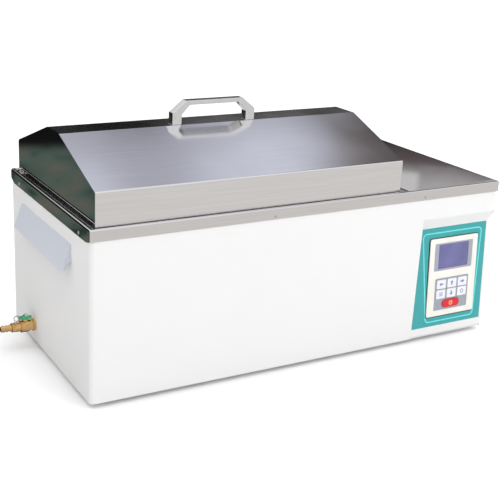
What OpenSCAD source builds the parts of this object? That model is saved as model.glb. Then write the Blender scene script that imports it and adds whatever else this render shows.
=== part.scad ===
// Thermostatic water bath: a stainless tank and gabled lid in a powder-coated sheet casing,
// with a controller on a recessed front panel, a tube heater and a side drain valve.
//
// Casing coordinates, used inside every module: x runs from the casing's left end to its right,
// y from its front to its back, and z up from the underside of the base pan. place() moves them
// to the part's own origin, which is the middle of the bounding box at bench level.

/* [Casing] */
// Length of the casing, left to right
casing_l = 800; // [740:5:900]
// Depth of the casing, front to back
casing_d = 382; // [370:2:440]
// Height from the base pan's underside to the deck's top
casing_h = 287.5; // [284:0.5:300]
// Thickness of the casing, pan and panel sheet
sheet_t = 1.2; // [1:0.1:1.5]
// Radius of the casing's upright corners
corner_r = 8; // [5:1:10]
// Height of the rubber feet
foot_h = 8; // [6:1:12]

/* [Deck and tank] */
// Thickness of the stainless deck and lid sheet
steel_t = 1; // [0.8:0.1:1]
// Depth of the deck's front flange
deck_skirt_front = 19; // [17:1:21]
// Depth of the deck's rear flange
deck_skirt_rear = 15.5; // [14:0.5:19]
// Depth of the deck's end flanges
deck_skirt_end = 23; // [22:1:26]
// Width of the deck strip around the lid well
deck_strip = 5.5; // [5:0.5:8]
// Length of the lid well
well_l = 591.5; // [588:0.5:594]
// Depth of the lid well below the deck's top
well_drop = 5.5; // [5:0.5:7]
// Inside length of the tank
tank_l = 500; // [480:10:510]
// Inside width of the tank
tank_w = 300; // [290:5:310]
// Inside depth of the tank
tank_depth = 200; // [190:5:205]

/* [Lid] */
// Length of the lid
lid_l = 568; // [560:2:574]
// Width of the lid, front to back
lid_w = 362; // [350:2:362]
// Height of the lid's upright skirts
lid_skirt = 59; // [50:1:64]
// Height of the whole lid, without the handle
lid_rise = 114; // [105:1:118]
// Width of the flat strip along the lid's ridge
ridge_w = 56; // [50:2:70]
// Length of the lid handle
handle_l = 158; // [140:2:180]
// Height of the lid handle
handle_h = 40; // [38:1:46]

/* [Control panel] */
// Distance of the recess's left cheek from the casing's right end
recess_w = 168; // [168:1:172]
// Depth of the recess at its top
recess_depth = 14.5; // [12:0.5:16]
// Height of the deepest line of the recess
recess_z = 210; // [206:1:212]
// Height where the undercut meets the front
undercut_z = 231; // [229:1:233]
// Width of the controller's front
controller_w = 112; // [110:1:114]
// Height of the controller's front
controller_h = 150; // [148:1:152]
// How far a key travels
key_travel = 1; // [0.6:0.1:1]

/* [Drain valve] */
// Distance of the valve's axis from the casing's front
valve_y = 268; // [250:2:280]
// Height of the valve's axis
valve_z = 30; // [28:1:32]
// How far the hose barb reaches from the casing's left end
barb_reach = 62; // [60:1:66]
// Radius of the water passage through the valve and barb
passage_r = 4; // [3.5:0.1:4]

/* [Hidden] */
$fn = 64;

// Clearance between sheets that lie against each other, and between parts that move apart
gap = 0.2;
move_gap = 0.3;
// Thickness of the base pan, and how far above its underside the sheets beside it start
pan_t = 1.5;
above_pan = pan_t + gap;

// Place of the casing in the part's own frame
grip_out = 17.5;
origin_x = (barb_reach - casing_l - grip_out) / 2;
origin_y = -casing_d / 2;

// Deck, well, tank and lid places
deck_z = casing_h;
over = gap + steel_t;
well_x = deck_strip;
well_w = casing_d - 2 * deck_strip;
ledge_z = deck_z - well_drop;
ledge_over = 2.5;
mid_x = 303;
mid_y = casing_d / 2;
tank_x = mid_x - tank_l / 2;
tank_y = mid_y - tank_w / 2;
tank_floor = ledge_z - tank_depth;
tank_r = 14;
lid_x = well_x + 6;
lid_y = mid_y - lid_w / 2;
fold_r = 3;
hem = 8;
handle_d = 16;
handle_foot = 17.5;
handle_x = lid_x + lid_l / 2 - 5.5;
handle_y = mid_y - ridge_w / 2 + 1;
lid_z = ledge_z + 0.1;
lid_top = lid_z + lid_rise;

// Control recess and controller
cheek_x = casing_l - recess_w;
panel_tilt = atan(recess_depth / recess_z);
wall_x = cheek_x - 16;
control_x = casing_l - 80;
control_s = 37;
label_s0 = 18;
label_s1 = recess_z - 2;
label_t = 0.5;
bezel_t = 2.2;
window_w = 89;
window_h = 52;
lcd_w = 70;
lcd_h = 46;
window_s = control_s + controller_h - 10 - window_h;
keypad_w = 79;
keypad_h = 62;
keypad_s = control_s + 11;
key_w = 21.5;
key_h = 17.4;
key_pitch_x = 25;
key_pitch_s = 19.3;
run_w = 41;
run_h = 16;
board_d = 12;

// Heater, probe and drain
heater_r = 5;
heater_z = tank_floor + 16;
heater_bend = 42;
heater_y = [mid_y - 3 * heater_bend, mid_y - heater_bend, mid_y + heater_bend, mid_y + 3 * heater_bend];
tank_end = tank_x + tank_l;
heater_x0 = tank_x + 75;
heater_x1 = tank_end - 75;
probe_y = mid_y + 90;
probe_z = heater_z;
shelf_z = tank_floor + 34;
spud_x = tank_x + 37;
pipe_r = 6;
pipe_bend = 16;
grip_y0 = 80;
grip_l = 240;
grip_z0 = 198.5;
grip_z1 = 240;

coat = [0.95, 0.95, 0.94];
stainless = [0.72, 0.72, 0.71];
brass = [0.78, 0.6, 0.3];
black = [0.12, 0.12, 0.12];

module place() translate([origin_x, origin_y, foot_h]) children();

// ---------------------------------------------------------------- shared shapes

// Rectangle from the origin with round corners
module round_rect(w, h, r) {
    translate([r, 0]) square([w - 2 * r, h]);
    translate([0, r]) square([w, h - 2 * r]);
    for (x = [r, w - r], y = [r, h - r]) translate([x, y]) circle(r);
}

// Upright plate in the plane across x, drawn as [y, z] and reaching t along x
module plate_x(x, t) translate([x, 0, 0]) rotate([90, 0, 90]) linear_extrude(t) children();

// Upright plate drawn as [x, z], reaching t back along y
module plate_y(y, t) translate([0, y + t, 0]) rotate([90, 0, 0]) linear_extrude(t) children();

function unit(v) = v / norm(v);
function left(v) = [-v.y, v.x];
function last(list) = len(list) - 1;

// A path moved sideways by d, with mitred corners
function beside(path, d) = [for (i = [0:last(path)])
    i == 0 ? path[0] + d * left(unit(path[1] - path[0])) :
    i == last(path) ? path[i] + d * left(unit(path[i] - path[i - 1])) :
    let (a = left(unit(path[i] - path[i - 1])), b = left(unit(path[i + 1] - path[i])))
        path[i] + d * (a + b) / (1 + a * b)];

// The same path with each inner corner bent to a radius, r on a left turn and r + t on a right turn
function bent(path, r_left, r_right) = [for (i = [0:last(path)])
    if (i == 0 || i == last(path)) path[i] else
    let (
        a = unit(path[i] - path[i - 1]),
        b = unit(path[i + 1] - path[i]),
        turn = a.x * b.y - a.y * b.x,
        r = turn > 0 ? r_left : r_right,
        angle = acos(a * b),
        start = path[i] - a * r * tan(angle / 2),
        side = turn > 0 ? 1 : -1,
        centre = start + side * r * left(a)
    ) for (k = [0:3]) let (p = side * angle * k / 3, s = start - centre)
        centre + [s.x * cos(p) - s.y * sin(p), s.x * sin(p) + s.y * cos(p)]];

// Cross-section of folded sheet: the path is its right-hand face, and t lies to its left
module folded(path, t, r) {
    near = bent(path, r + t, r);
    far = bent(beside(path, t), r, r + t);
    polygon(concat(near, [for (i = [last(far):-1:0]) far[i]]));
}

// Round-headed screw along +z with its head's underside at the origin
module screw(head_r, head_h, shank_r, length) {
    cylinder(r1 = head_r, r2 = head_r * 0.8, h = head_h, $fn = 48);
    translate([0, 0, -length]) cylinder(r = shank_r, h = length);
}

// Round tube wall along +z
module pipe(outer_r, inner_r, length) difference() {
    cylinder(r = outer_r, h = length);
    translate([0, 0, -1]) cylinder(r = inner_r, h = length + 2);
}

// Cord of round section along a path in space, as one closed skin
function ring_at(path, i, r, sides) =
    let (
        a = path[max(i - 1, 0)],
        b = path[min(i + 1, last(path))],
        along = unit(b - a),
        across = unit(cross(along, [1, 1, 1])),
        up = cross(across, along)
    ) [for (k = [0:sides - 1]) path[i] + r * (across * cos(360 * k / sides) + up * sin(360 * k / sides))];

module cord(path, r) {
    sides = 8;
    rings = [for (i = [0:last(path)]) each ring_at(path, i, r, sides)];
    polyhedron(rings, concat(
        [[for (k = [0:sides - 1]) k]],
        [for (i = [0:last(path) - 1], k = [0:sides - 1])
            let (here = i * sides, beyond = here + sides, next = (k + 1) % sides)
                [here + k, beyond + k, beyond + next, here + next]],
        [[for (k = [sides - 1:-1:0]) last(path) * sides + k]]
    ));
}

// Smooth curve through space from one point and direction to another
function curve(p, u, q, v, n) = [for (i = [0:n]) let (t = i / n)
    (2 * t * t * t - 3 * t * t + 1) * p + (t * t * t - 2 * t * t + t) * u
    + (3 * t * t - 2 * t * t * t) * q + (t * t * t - t * t) * v];

// ---------------------------------------------------------------- casing

foot_at = [for (x = [55, casing_l - 55], y = [50, casing_d - 50]) [x, y]];

module base_pan() color(coat) place() difference() {
    inset = sheet_t + gap;
    flange = 14;
    pan_l = casing_l - 2 * inset;
    pan_d = casing_d - 3 * inset;
    translate([inset, inset, 0]) difference() {
        linear_extrude(flange) round_rect(pan_l, pan_d, corner_r - inset);
        translate([pan_t, pan_t, pan_t]) linear_extrude(flange)
            round_rect(pan_l - 2 * pan_t, pan_d - 2 * pan_t, corner_r - inset - pan_t);
    }
    translate([cheek_x - 5, 0, pan_t]) cube([casing_l, 18, flange]);
    for (p = foot_at) translate([p.x, p.y, -1]) cylinder(r = 2.2, h = 4);
    for (i = [0:7]) translate([cheek_x + 30 + i * 14, 180, -1]) cube([5, 60, 4]);
}

module feet() color(black) place() for (p = foot_at) translate([p.x, p.y, -foot_h]) difference() {
    cylinder(r1 = 11, r2 = 13, h = foot_h);
    translate([0, 0, -1]) cylinder(r = 5, h = 5);
    cylinder(r = 2.2, h = foot_h + 1);
}

module foot_screws() color(stainless) place() for (p = foot_at) translate([p.x, p.y, 4 - foot_h])
    mirror([0, 0, 1]) screw(4.2, 2.4, 2, foot_h + 2);

module casing_ring(height, square_front) {
    inner = corner_r - sheet_t;
    linear_extrude(height) difference() {
        union() {
            round_rect(casing_l, casing_d, corner_r);
            if (square_front) translate([casing_l - 20, 0]) square(20);
        }
        translate([sheet_t, sheet_t]) {
            round_rect(casing_l - 2 * sheet_t, casing_d - 2 * sheet_t, inner);
            if (square_front) translate([casing_l - 20 - 2 * sheet_t, 0]) square(20);
        }
    }
}

module outer_casing() color(coat) place() {
    difference() {
        union() {
            casing_ring(undercut_z, true);
            translate([0, 0, undercut_z]) casing_ring(deck_z - steel_t - undercut_z, false);
        }
        // the back is closed by the rear panel
        translate([16, casing_d - 2 * sheet_t, 10]) cube([casing_l - 32, 4 * sheet_t, deck_z - 36]);
        // the control recess
        translate([cheek_x, -1, -1]) cube([recess_w - sheet_t, 18, undercut_z + 1]);
        plate_x(casing_l - 2 * sheet_t, 4 * sheet_t)
            polygon([[-5, -1], [0, -1], [0, 0], [recess_depth, recess_z], [0, undercut_z], [-5, undercut_z]]);
        // drain pipe, deck screws and rear screws
        translate([-1, valve_y, valve_z]) rotate([0, 90, 0]) cylinder(r = pipe_r + 0.5, h = 4);
        for (s = deck_screw_at) screw_hole(s);
        for (p = rear_screw_at) rear_hole(p, casing_d + 1, 1.6);
    }
    // the cheek, folded in along the recess's left side
    translate([cheek_x - sheet_t, sheet_t, above_pan]) cube([sheet_t, 17, undercut_z - above_pan]);
}

// Round hole through the back, at p = [x, z] and cut forwards from y = start
module rear_hole(p, start, r) translate([p.x, start, p.y]) rotate([90, 0, 0]) cylinder(r = r, h = 4);

rear_screw_at = [for (z = [40, 140, 240], x = [12, casing_l - 12]) [x, z]];
inlet_at = [casing_l - 60, 60];
fuse_at = [casing_l - 105, 60];
earth_at = [casing_l - 145, 60];

module rear_panel() color(coat) place() difference() {
    back = casing_d - sheet_t - gap;
    translate([corner_r, back - sheet_t, 2]) cube([casing_l - 2 * corner_r, sheet_t, deck_z - steel_t - 2.5]);
    for (s = deck_screw_at) screw_hole(s);
    translate([inlet_at.x - 13.6, back - 3, inlet_at.y - 10.1]) cube([27.2, 6, 20.2]);
    for (x = [-20, 20]) rear_hole([inlet_at.x + x, inlet_at.y], back + 1, 1.7);
    rear_hole(fuse_at, back + 1, 6.2);
    rear_hole(earth_at, back + 1, 2.6);
    for (p = rear_screw_at) rear_hole(p, back + 1, 1.6);
    for (i = [0:9]) translate([wall_x + 30 + i * 13, back - 3, 150]) cube([5, 6, 70]);
}

module rear_panel_screws() color(stainless) place() for (p = rear_screw_at)
    translate([p.x, casing_d, p.y]) rotate([-90, 0, 0]) screw(3.2, 1.6, 1.5, 5);

module grip() difference() {
    // outer hood, as a wedge that stands away from the wall at its bottom
    plate_y(0, grip_l) polygon([[0, grip_z1], [-1, grip_z1], [-grip_out, grip_z0], [0, grip_z0]]);
    inside_x = 0.2 + sheet_t - grip_out;
    plate_y(sheet_t, grip_l - 2 * sheet_t) polygon([
        [1, grip_z1 - 2], [-1, grip_z1 - 3.5], [inside_x, grip_z0 - 1], [1, grip_z0 - 1]
    ]);
    // the end cheeks are cut away in a curve below
    translate([1, -1, grip_z0]) rotate([-90, 0, 0]) cylinder(r = 12.5, h = grip_l + 2);
}

module grip_left() color(coat) place() translate([0, grip_y0, 0]) grip();
module grip_right() color(coat) place() translate([casing_l, grip_y0, 0]) mirror([1, 0, 0]) grip();

// ---------------------------------------------------------------- deck and tank

// Each deck screw: a point on the casing's face, and the turn that points the screw outwards
deck_screw_at = [
    for (y = [46, casing_d - 46]) [[0, y, 270], [0, -90, 0]],
    for (y = [46, casing_d - 46]) [[casing_l, y, 270], [0, 90, 0]],
    for (x = [320, 628]) [[x, 0, 274], [90, 0, 0]],
    for (x = [172, 628]) [[x, casing_d, 279], [-90, 0, 0]]
];
module screw_hole(s) translate(s[0]) rotate(s[1]) translate([0, 0, -4]) cylinder(r = 1.6, h = 8);

module deck_plate() color(stainless) place() difference() {
    union() {
        difference() {
            translate([-over, -over, deck_z - deck_skirt_end]) linear_extrude(deck_skirt_end)
                round_rect(casing_l + 2 * over, casing_d + 2 * over, 2);
            translate([-gap, -gap, deck_z - deck_skirt_end - 1]) linear_extrude(deck_skirt_end + 1 - steel_t)
                round_rect(casing_l + 2 * gap, casing_d + 2 * gap, 1);
            // the end flanges' lower corners slope up to the front and rear flanges
            plate_x(-2 * over, casing_l + 4 * over) {
                polygon([
                    [-5, deck_z - deck_skirt_front], [-over, deck_z - deck_skirt_front],
                    [16, deck_z - deck_skirt_end], [16, 0], [-5, 0]
                ]);
                polygon([
                    [casing_d + 5, deck_z - deck_skirt_rear], [casing_d + over, deck_z - deck_skirt_rear],
                    [casing_d - 20, deck_z - deck_skirt_end], [casing_d - 20, 0], [casing_d + 5, 0]
                ]);
            }
        }
        // the edge turned down around the lid well
        translate([well_x - steel_t, deck_strip - steel_t, ledge_z])
            cube([well_l + 2 * steel_t, well_w + 2 * steel_t, well_drop - steel_t / 2]);
    }
    translate([well_x, deck_strip, ledge_z - 1]) cube([well_l, well_w, 10]);
    for (s = deck_screw_at) screw_hole(s);
}

module deck_screws() color(stainless) place() for (s = deck_screw_at)
    translate(s[0]) rotate(s[1]) translate([0, 0, over]) screw(3, 1.1, 1.5, 4.5);

module inner_tank() color(stainless) place() difference() {
    union() {
        translate([well_x - ledge_over, deck_strip - ledge_over, ledge_z - steel_t]) linear_extrude(steel_t)
            round_rect(well_l + 2 * ledge_over, well_w + 2 * ledge_over, 3);
        translate([tank_x - steel_t, tank_y - steel_t, tank_floor - steel_t])
            linear_extrude(tank_depth + steel_t - steel_t / 2)
            round_rect(tank_l + 2 * steel_t, tank_w + 2 * steel_t, tank_r + steel_t);
    }
    translate([tank_x, tank_y, tank_floor]) linear_extrude(tank_depth + 1) round_rect(tank_l, tank_w, tank_r);
    translate([spud_x, valve_y, tank_floor - 5]) cylinder(r = 9.1, h = 10);
    for (y = [heater_y[0], heater_y[3]]) translate([tank_end - 5, y, heater_z]) rotate([0, 90, 0])
        cylinder(r = 7.1, h = 10);
    translate([tank_end - 5, probe_y, probe_z]) rotate([0, 90, 0]) cylinder(r = 5.1, h = 10);
}

module tank_insulation() color([0.9, 0.85, 0.6]) place() difference() {
    side = 26;
    under = 28;
    translate([tank_x - side, tank_y - side, tank_floor - under])
        cube([tank_l + 2 * side, tank_w + 2 * side, tank_depth + under - 8]);
    translate([tank_x - steel_t - gap, tank_y - steel_t - gap, tank_floor - steel_t - gap])
        linear_extrude(tank_depth + 10)
        round_rect(tank_l + 2 * (steel_t + gap), tank_w + 2 * (steel_t + gap), tank_r + steel_t + gap);
    translate([spud_x, valve_y, tank_floor - 60]) cylinder(r = 18, h = 70);
    for (y = [heater_y[0], heater_y[3]]) translate([tank_end, y, heater_z]) rotate([0, 90, 0])
        cylinder(r = 16, h = 60);
    translate([tank_end, probe_y, probe_z]) rotate([0, 90, 0]) cylinder(r = 14, h = 60);
}

module compartment_wall() color([0.75, 0.76, 0.76]) place() difference() {
    union() {
        translate([wall_x, 4, pan_t]) cube([sheet_t, casing_d - 10, ledge_z - steel_t - pan_t - gap]);
        translate([wall_x, 20, pan_t]) cube([14, casing_d - 40, sheet_t]);
    }
    for (y = [heater_y[0], heater_y[3]]) translate([wall_x - 2, y, heater_z]) rotate([0, 90, 0])
        cylinder(r = 9, h = 6);
    translate([wall_x - 2, probe_y, probe_z]) rotate([0, 90, 0]) cylinder(r = 6, h = 6);
}

module heater_element() color([0.5, 0.5, 0.5]) place() translate([0, 0, heater_z]) {
    // two outer legs run out through the tank's end, and three bends join the four runs
    for (y = [heater_y[0], heater_y[3]]) translate([heater_x0, y, 0]) rotate([0, 90, 0])
        cylinder(r = heater_r, h = tank_end + 14 - heater_x0);
    for (y = [heater_y[1], heater_y[2]]) translate([heater_x0, y, 0]) rotate([0, 90, 0])
        cylinder(r = heater_r, h = heater_x1 - heater_x0);
    for (side = [-2, 2]) translate([heater_x0, mid_y + side * heater_bend, 0]) rotate([0, 0, 90])
        rotate_extrude(angle = 180) translate([heater_bend, 0]) circle(heater_r);
    translate([heater_x1, mid_y, 0]) rotate([0, 0, -90])
        rotate_extrude(angle = 180) translate([heater_bend, 0]) circle(heater_r);
}

module heater_glands() color(brass) place() for (y = [heater_y[0], heater_y[3]])
    translate([tank_end, y, heater_z]) rotate([0, 90, 0]) {
        difference() {
            union() {
                translate([0, 0, -5]) cylinder(r = 11, h = 5, $fn = 6);
                translate([0, 0, -5]) cylinder(r = 7, h = 14);
            }
            translate([0, 0, -6]) cylinder(r = heater_r + 0.05, h = 20);
        }
        translate([0, 0, steel_t]) difference() {
            cylinder(r = 11, h = 5, $fn = 6);
            translate([0, 0, -1]) cylinder(r = 7.05, h = 8);
        }
    }

module temperature_probe() color(stainless) place()
    translate([tank_end - 62, probe_y, probe_z]) rotate([0, 90, 0]) {
        cylinder(r = 3, h = 78);
        sphere(3);
    }

module probe_gland() color(brass) place() translate([tank_end, probe_y, probe_z]) rotate([0, 90, 0]) {
    difference() {
        union() {
            translate([0, 0, -4]) cylinder(r = 8, h = 4, $fn = 6);
            translate([0, 0, -4]) cylinder(r = 5, h = 12);
        }
        translate([0, 0, -5]) cylinder(r = 3.05, h = 20);
    }
    translate([0, 0, steel_t]) difference() {
        cylinder(r = 8, h = 4, $fn = 6);
        translate([0, 0, -1]) cylinder(r = 5.05, h = 8);
    }
}

module tank_shelf() color(stainless) place() {
    clear = 6;
    shelf_t = 1.5;
    shelf_l = tank_l - 2 * clear;
    shelf_w = tank_w - 2 * clear;
    difference() {
        translate([tank_x + clear, tank_y + clear, shelf_z]) linear_extrude(shelf_t)
            round_rect(shelf_l, shelf_w, tank_r);
        for (i = [0:15], j = [0:8])
            translate([mid_x + (i - 7.5) * 28, mid_y + (j - 4) * 30, shelf_z - 1]) cylinder(r = 6, h = 4);
    }
    // legs that stand on the tank's floor beyond the heater's bends
    for (x = [tank_x + 14, tank_end - 14], y = [mid_y - 110, mid_y, mid_y + 110])
        translate([x, y, tank_floor + 0.1]) cylinder(r = 3, h = shelf_z - tank_floor);
    // two lifting bails
    for (x = [tank_x + 60, tank_end - 60]) translate([x, mid_y - 30, shelf_z + shelf_t]) {
        for (y = [0, 60]) translate([0, y, 0]) cylinder(r = 2, h = 18);
        translate([0, 0, 18]) rotate([-90, 0, 0]) cylinder(r = 2, h = 60);
        for (y = [0, 60]) translate([0, y, 18]) sphere(2);
    }
}

// ---------------------------------------------------------------- drain

module drain_spud() color(brass) place() translate([spud_x, valve_y, 0]) difference() {
    union() {
        translate([0, 0, tank_floor]) cylinder(r = 14, h = 2.5);
        translate([0, 0, tank_floor - 24]) cylinder(r = 9, h = 24);
    }
    translate([0, 0, tank_floor - 25]) cylinder(r = pipe_r + 0.05, h = 16);
    translate([0, 0, tank_floor - 10]) cylinder(r = 5, h = 14);
}

module drain_spud_nut() color(brass) place()
    translate([spud_x, valve_y, tank_floor - steel_t - 7]) difference() {
        cylinder(r = 15, h = 7, $fn = 6);
        translate([0, 0, -1]) cylinder(r = 9.05, h = 9);
    }

// Copper pipe: down from the spud, round one bend and out through the casing's left end
module drain_pipe() color([0.8, 0.5, 0.35]) place() difference() {
    drain_route(pipe_r, 0);
    drain_route(pipe_r - 1, 1);
}
module drain_route(r, extra) translate([0, valve_y, 0]) {
    top = tank_floor - 9.5;
    translate([spud_x, 0, valve_z + pipe_bend]) cylinder(r = r, h = top - valve_z - pipe_bend + extra);
    translate([spud_x - pipe_bend, 0, valve_z + pipe_bend]) rotate([90, 0, 0])
        rotate_extrude(angle = -90) translate([pipe_bend, 0]) circle(r);
    translate([-6 - extra, 0, valve_z]) rotate([0, 90, 0])
        cylinder(r = r, h = spud_x - pipe_bend + 6 + extra);
}

module along_valve(x) place() translate([x, valve_y, valve_z]) rotate([0, -90, 0]) children();

module wall_nuts() color(brass) {
    along_valve(0) difference() {
        cylinder(r = 11, h = 4);
        translate([0, 0, -1]) cylinder(r = pipe_r + 0.05, h = 6);
    }
    along_valve(sheet_t) mirror([0, 0, 1]) difference() {
        cylinder(r = 11, h = 5, $fn = 6);
        translate([0, 0, -1]) cylinder(r = pipe_r + 0.05, h = 8);
    }
}

// The valve's parts run from the casing outwards; its ball turns about an upright axis
ball_at = 17;
ball_r = 7.7;
valve_out = 36;
lever_half = 13.2;
lever_ring_r = 5;

module valve_body() color(brass) difference() {
    union() {
        along_valve(-4.2) cylinder(r = 10.5, h = 8, $fn = 6);
        along_valve(-12) cylinder(r = 10.8, h = 14);
        along_valve(-26) cylinder(r = 8.5, h = valve_out - 26);
        place() translate([-ball_at, valve_y, valve_z]) cylinder(r = 5.2, h = 13.2);
    }
    along_valve(-3) cylinder(r = pipe_r + 0.05, h = 4);
    along_valve(-3) cylinder(r = passage_r, h = valve_out);
    along_valve(-ball_at + 9) cylinder(r = 8, h = 18);
    along_valve(-ball_at - 9) cylinder(r = 6.5, h = valve_out - ball_at);
    place() translate([-ball_at, valve_y, valve_z]) cylinder(r = 3, h = 20);
}

module valve_seats() color("white") for (s = [-1, 1]) along_valve(-ball_at + s * 7.7 + 1.1) difference() {
    cylinder(r = 7.9, h = 2.2);
    translate([0, 0, -1]) cylinder(r = 4.6, h = 5);
}

module hose_barb() color(brass) difference() {
    union() {
        along_valve(-ball_at - 9.2) cylinder(r = 6.4, h = valve_out - ball_at - 9.2 + 1);
        along_valve(-valve_out) cylinder(r = 9, h = 6, $fn = 6);
        along_valve(-valve_out) cylinder(r = 5, h = barb_reach - valve_out);
        for (x = [0:2]) along_valve(-valve_out - 8 - x * 6) cylinder(r1 = 6.2, r2 = 5, h = 5.4, $fn = 48);
    }
    along_valve(-ball_at) cylinder(r = passage_r, h = barb_reach);
}

module valve_ball() color(stainless) place() translate([-ball_at, valve_y, valve_z]) difference() {
    sphere(ball_r);
    rotate([0, 90, 0]) cylinder(r = passage_r, h = 20, center = true);
    translate([-2.3, -1, ball_r - 2.2]) cube([4.6, 2, 4]);
}

module valve_stem() color(stainless) place() translate([-ball_at, valve_y, valve_z]) {
    translate([-2.2, -0.9, ball_r - 2.1]) cube([4.4, 1.8, 3]);
    translate([0, 0, ball_r + 0.6]) cylinder(r = 2.95, h = 7);
    translate([0, 0, ball_r + 7.6]) cylinder(r = 2, h = 8.5);
}

module valve_lever() color([0.2, 0.65, 0.42]) place()
    translate([-ball_at, valve_y, valve_z + 13.6]) difference() {
        union() {
            cylinder(r = 6.8, h = 5);
            translate([-lever_half + 4, -4, 0]) cube([2 * lever_half - 8, 8, 4.6]);
            for (x = [-1, 1]) translate([x * (lever_half - 4), 0, 0]) cylinder(r = 4, h = 4.6);
        }
        translate([0, 0, -1]) cylinder(r = 3.1, h = 2.7);
        translate([0, 0, -1]) cylinder(r = 2.05, h = 10);
        translate([-lever_half + 3, 0, -1]) cylinder(r = 1.4, h = 8);
    }

module lever_nut() color(stainless) place() translate([-ball_at, valve_y, valve_z + 18.6]) difference() {
    cylinder(r = 4, h = 3, $fn = 6);
    translate([0, 0, -1]) cylinder(r = 2.05, h = 6);
}

// Split ring through the lever's end hole, standing upright along the lever
module lever_ring() color(black) place()
    translate([-ball_at - lever_half + 3 - lever_ring_r, valve_y, valve_z + 15.9])
    rotate([90, 0, 0]) rotate_extrude() translate([lever_ring_r, 0]) circle(0.6);

// ---------------------------------------------------------------- control panel

module control_fascia() color(coat) place() difference() {
    plate_x(cheek_x + gap, recess_w - sheet_t - 2 * gap) folded([
        [sheet_t + gap, undercut_z + 15], [sheet_t + gap, undercut_z - 1],
        [recess_depth, recess_z], [above_pan * recess_depth / recess_z, above_pan], [15, above_pan]
    ], sheet_t, 1);
    on_panel() translate([control_x - 53.5, -3, control_s + 2.5]) cube([107, 8, controller_h - 5]);
    // room for the casing's round corner above the recess
    translate([casing_l - corner_r - 1, -1, undercut_z - 0.2]) cube(20);
}

// Panel coordinates: x as the casing's, y into the casing, z up the sloping panel
module on_panel() rotate([-panel_tilt, 0, 0]) children();
module panel_plate(x, d, s, w, t, h, r) translate([x, d + t, s]) rotate([90, 0, 0]) linear_extrude(t)
    round_rect(w, h, r);

module fascia_label() color([0.28, 0.69, 0.7]) place() on_panel() difference() {
    panel_plate(cheek_x + 1, -label_t, label_s0, recess_w - sheet_t - 4, label_t, label_s1 - label_s0, 0.5);
    panel_plate(control_x - controller_w / 2 - 1.5, -2, control_s - 1.5,
        controller_w + 3, 4, controller_h + 3, 3.5);
}

module controller_gasket() color(black) place() on_panel() difference() {
    panel_plate(control_x - controller_w / 2 - 1.2, -label_t, control_s - 1.2,
        controller_w + 2.4, label_t, controller_h + 2.4, 3.2);
    panel_plate(control_x - 53.6, -2, control_s + 2.4, 107.2, 4, controller_h - 4.8, 1);
}

module controller_bezel() color([0.94, 0.92, 0.88]) place() on_panel() difference() {
    panel_plate(control_x - controller_w / 2, -label_t - bezel_t, control_s,
        controller_w, bezel_t, controller_h, 3);
    panel_plate(control_x - window_w / 2, -5, window_s, window_w, 10, window_h, 2);
    panel_plate(control_x - keypad_w / 2, -5, keypad_s, keypad_w, 10, keypad_h, 2);
}

module controller_case() color([0.2, 0.2, 0.22]) place() on_panel() difference() {
    panel_plate(control_x - 53, -label_t, control_s + 3, 106, 34, controller_h - 6, 1.5);
    panel_plate(control_x - 51, -5, control_s + 5, 102, 36.5, controller_h - 10, 0.6);
    translate([control_x - 40, 20, control_s + 20]) cube([30, 20, 10]);
}

module display_frame() color([0.65, 0.66, 0.7]) place() on_panel() difference() {
    union() {
        panel_plate(control_x - window_w / 2 + gap, -label_t - bezel_t + 0.4, window_s + gap,
            window_w - 2 * gap, bezel_t - 0.4, window_h - 2 * gap, 1.8);
        panel_plate(control_x - window_w / 2 - 1, -label_t, window_s - 1, window_w + 2, 3, window_h + 2, 2);
    }
    panel_plate(control_x - lcd_w / 2, -5, window_s + 3.4, lcd_w, 10, lcd_h, 0.8);
}

module display_window() color([0.4, 0.4, 0.6]) place() on_panel()
    panel_plate(control_x - lcd_w / 2 + 0.1, -1.3, window_s + 3.5, lcd_w - 0.2, 3.5, lcd_h - 0.2, 0.7);

module keypad_plate() color([0.63, 0.65, 0.67]) place() on_panel() difference() {
    union() {
        panel_plate(control_x - keypad_w / 2 + gap, -label_t - bezel_t + 0.5, keypad_s + gap,
            keypad_w - 2 * gap, bezel_t - 0.5, keypad_h - 2 * gap, 1.8);
        panel_plate(control_x - keypad_w / 2 - 1, -label_t, keypad_s - 1, keypad_w + 2, 0.8, keypad_h + 2, 2);
    }
    for (i = [0:5]) key_outline(i, key_w, key_h, -5, 10);
    run_outline(run_w, run_h, -5, 10);
}

// Keys in two rows of three, numbered from the left of the top row
function key_x(i) = control_x + (i % 3 - 1) * key_pitch_x;
function key_s(i) = keypad_s + keypad_h - 3 - key_h / 2 - floor(i / 3) * key_pitch_s;
module key_outline(i, w, h, d, t) panel_plate(key_x(i) - w / 2, d, key_s(i) - h / 2, w, t, h, 1.5);
run_s = keypad_s + 3.5 + run_h / 2;
module run_outline(w, h, d, t) translate([control_x, d + t, run_s]) rotate([90, 0, 0]) linear_extrude(t)
    round_rect_centred(w, h, h / 2 - 0.01);
module round_rect_centred(w, h, r) translate([-w / 2, -h / 2]) round_rect(w, h, r);

// Behind the keypad plate each key has a stop flange and a stem that reaches for its switch
stop_d = 0.7;
stop_t = 1.2;
stem_end = board_d - 0.6 - key_travel;
module key_stem(x, s) translate([x, stem_end, s]) rotate([90, 0, 0])
    cylinder(r = 2, h = stem_end - stop_d - stop_t / 2);

module key(i) color([0.93, 0.93, 0.97]) place() on_panel() {
    front = -label_t - bezel_t - 0.6;
    key_outline(i, key_w - 2 * move_gap, key_h - 2 * move_gap, front, stop_d + stop_t / 2 - front);
    panel_plate(key_x(i) - key_w / 2 - 0.9, stop_d, key_s(i) - key_h / 2 + 2,
        key_w + 1.8, stop_t, key_h - 4, 1);
    key_stem(key_x(i), key_s(i));
}
module key_1() key(0);
module key_2() key(1);
module key_3() key(2);
module key_4() key(3);
module key_5() key(4);
module key_6() key(5);

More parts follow.
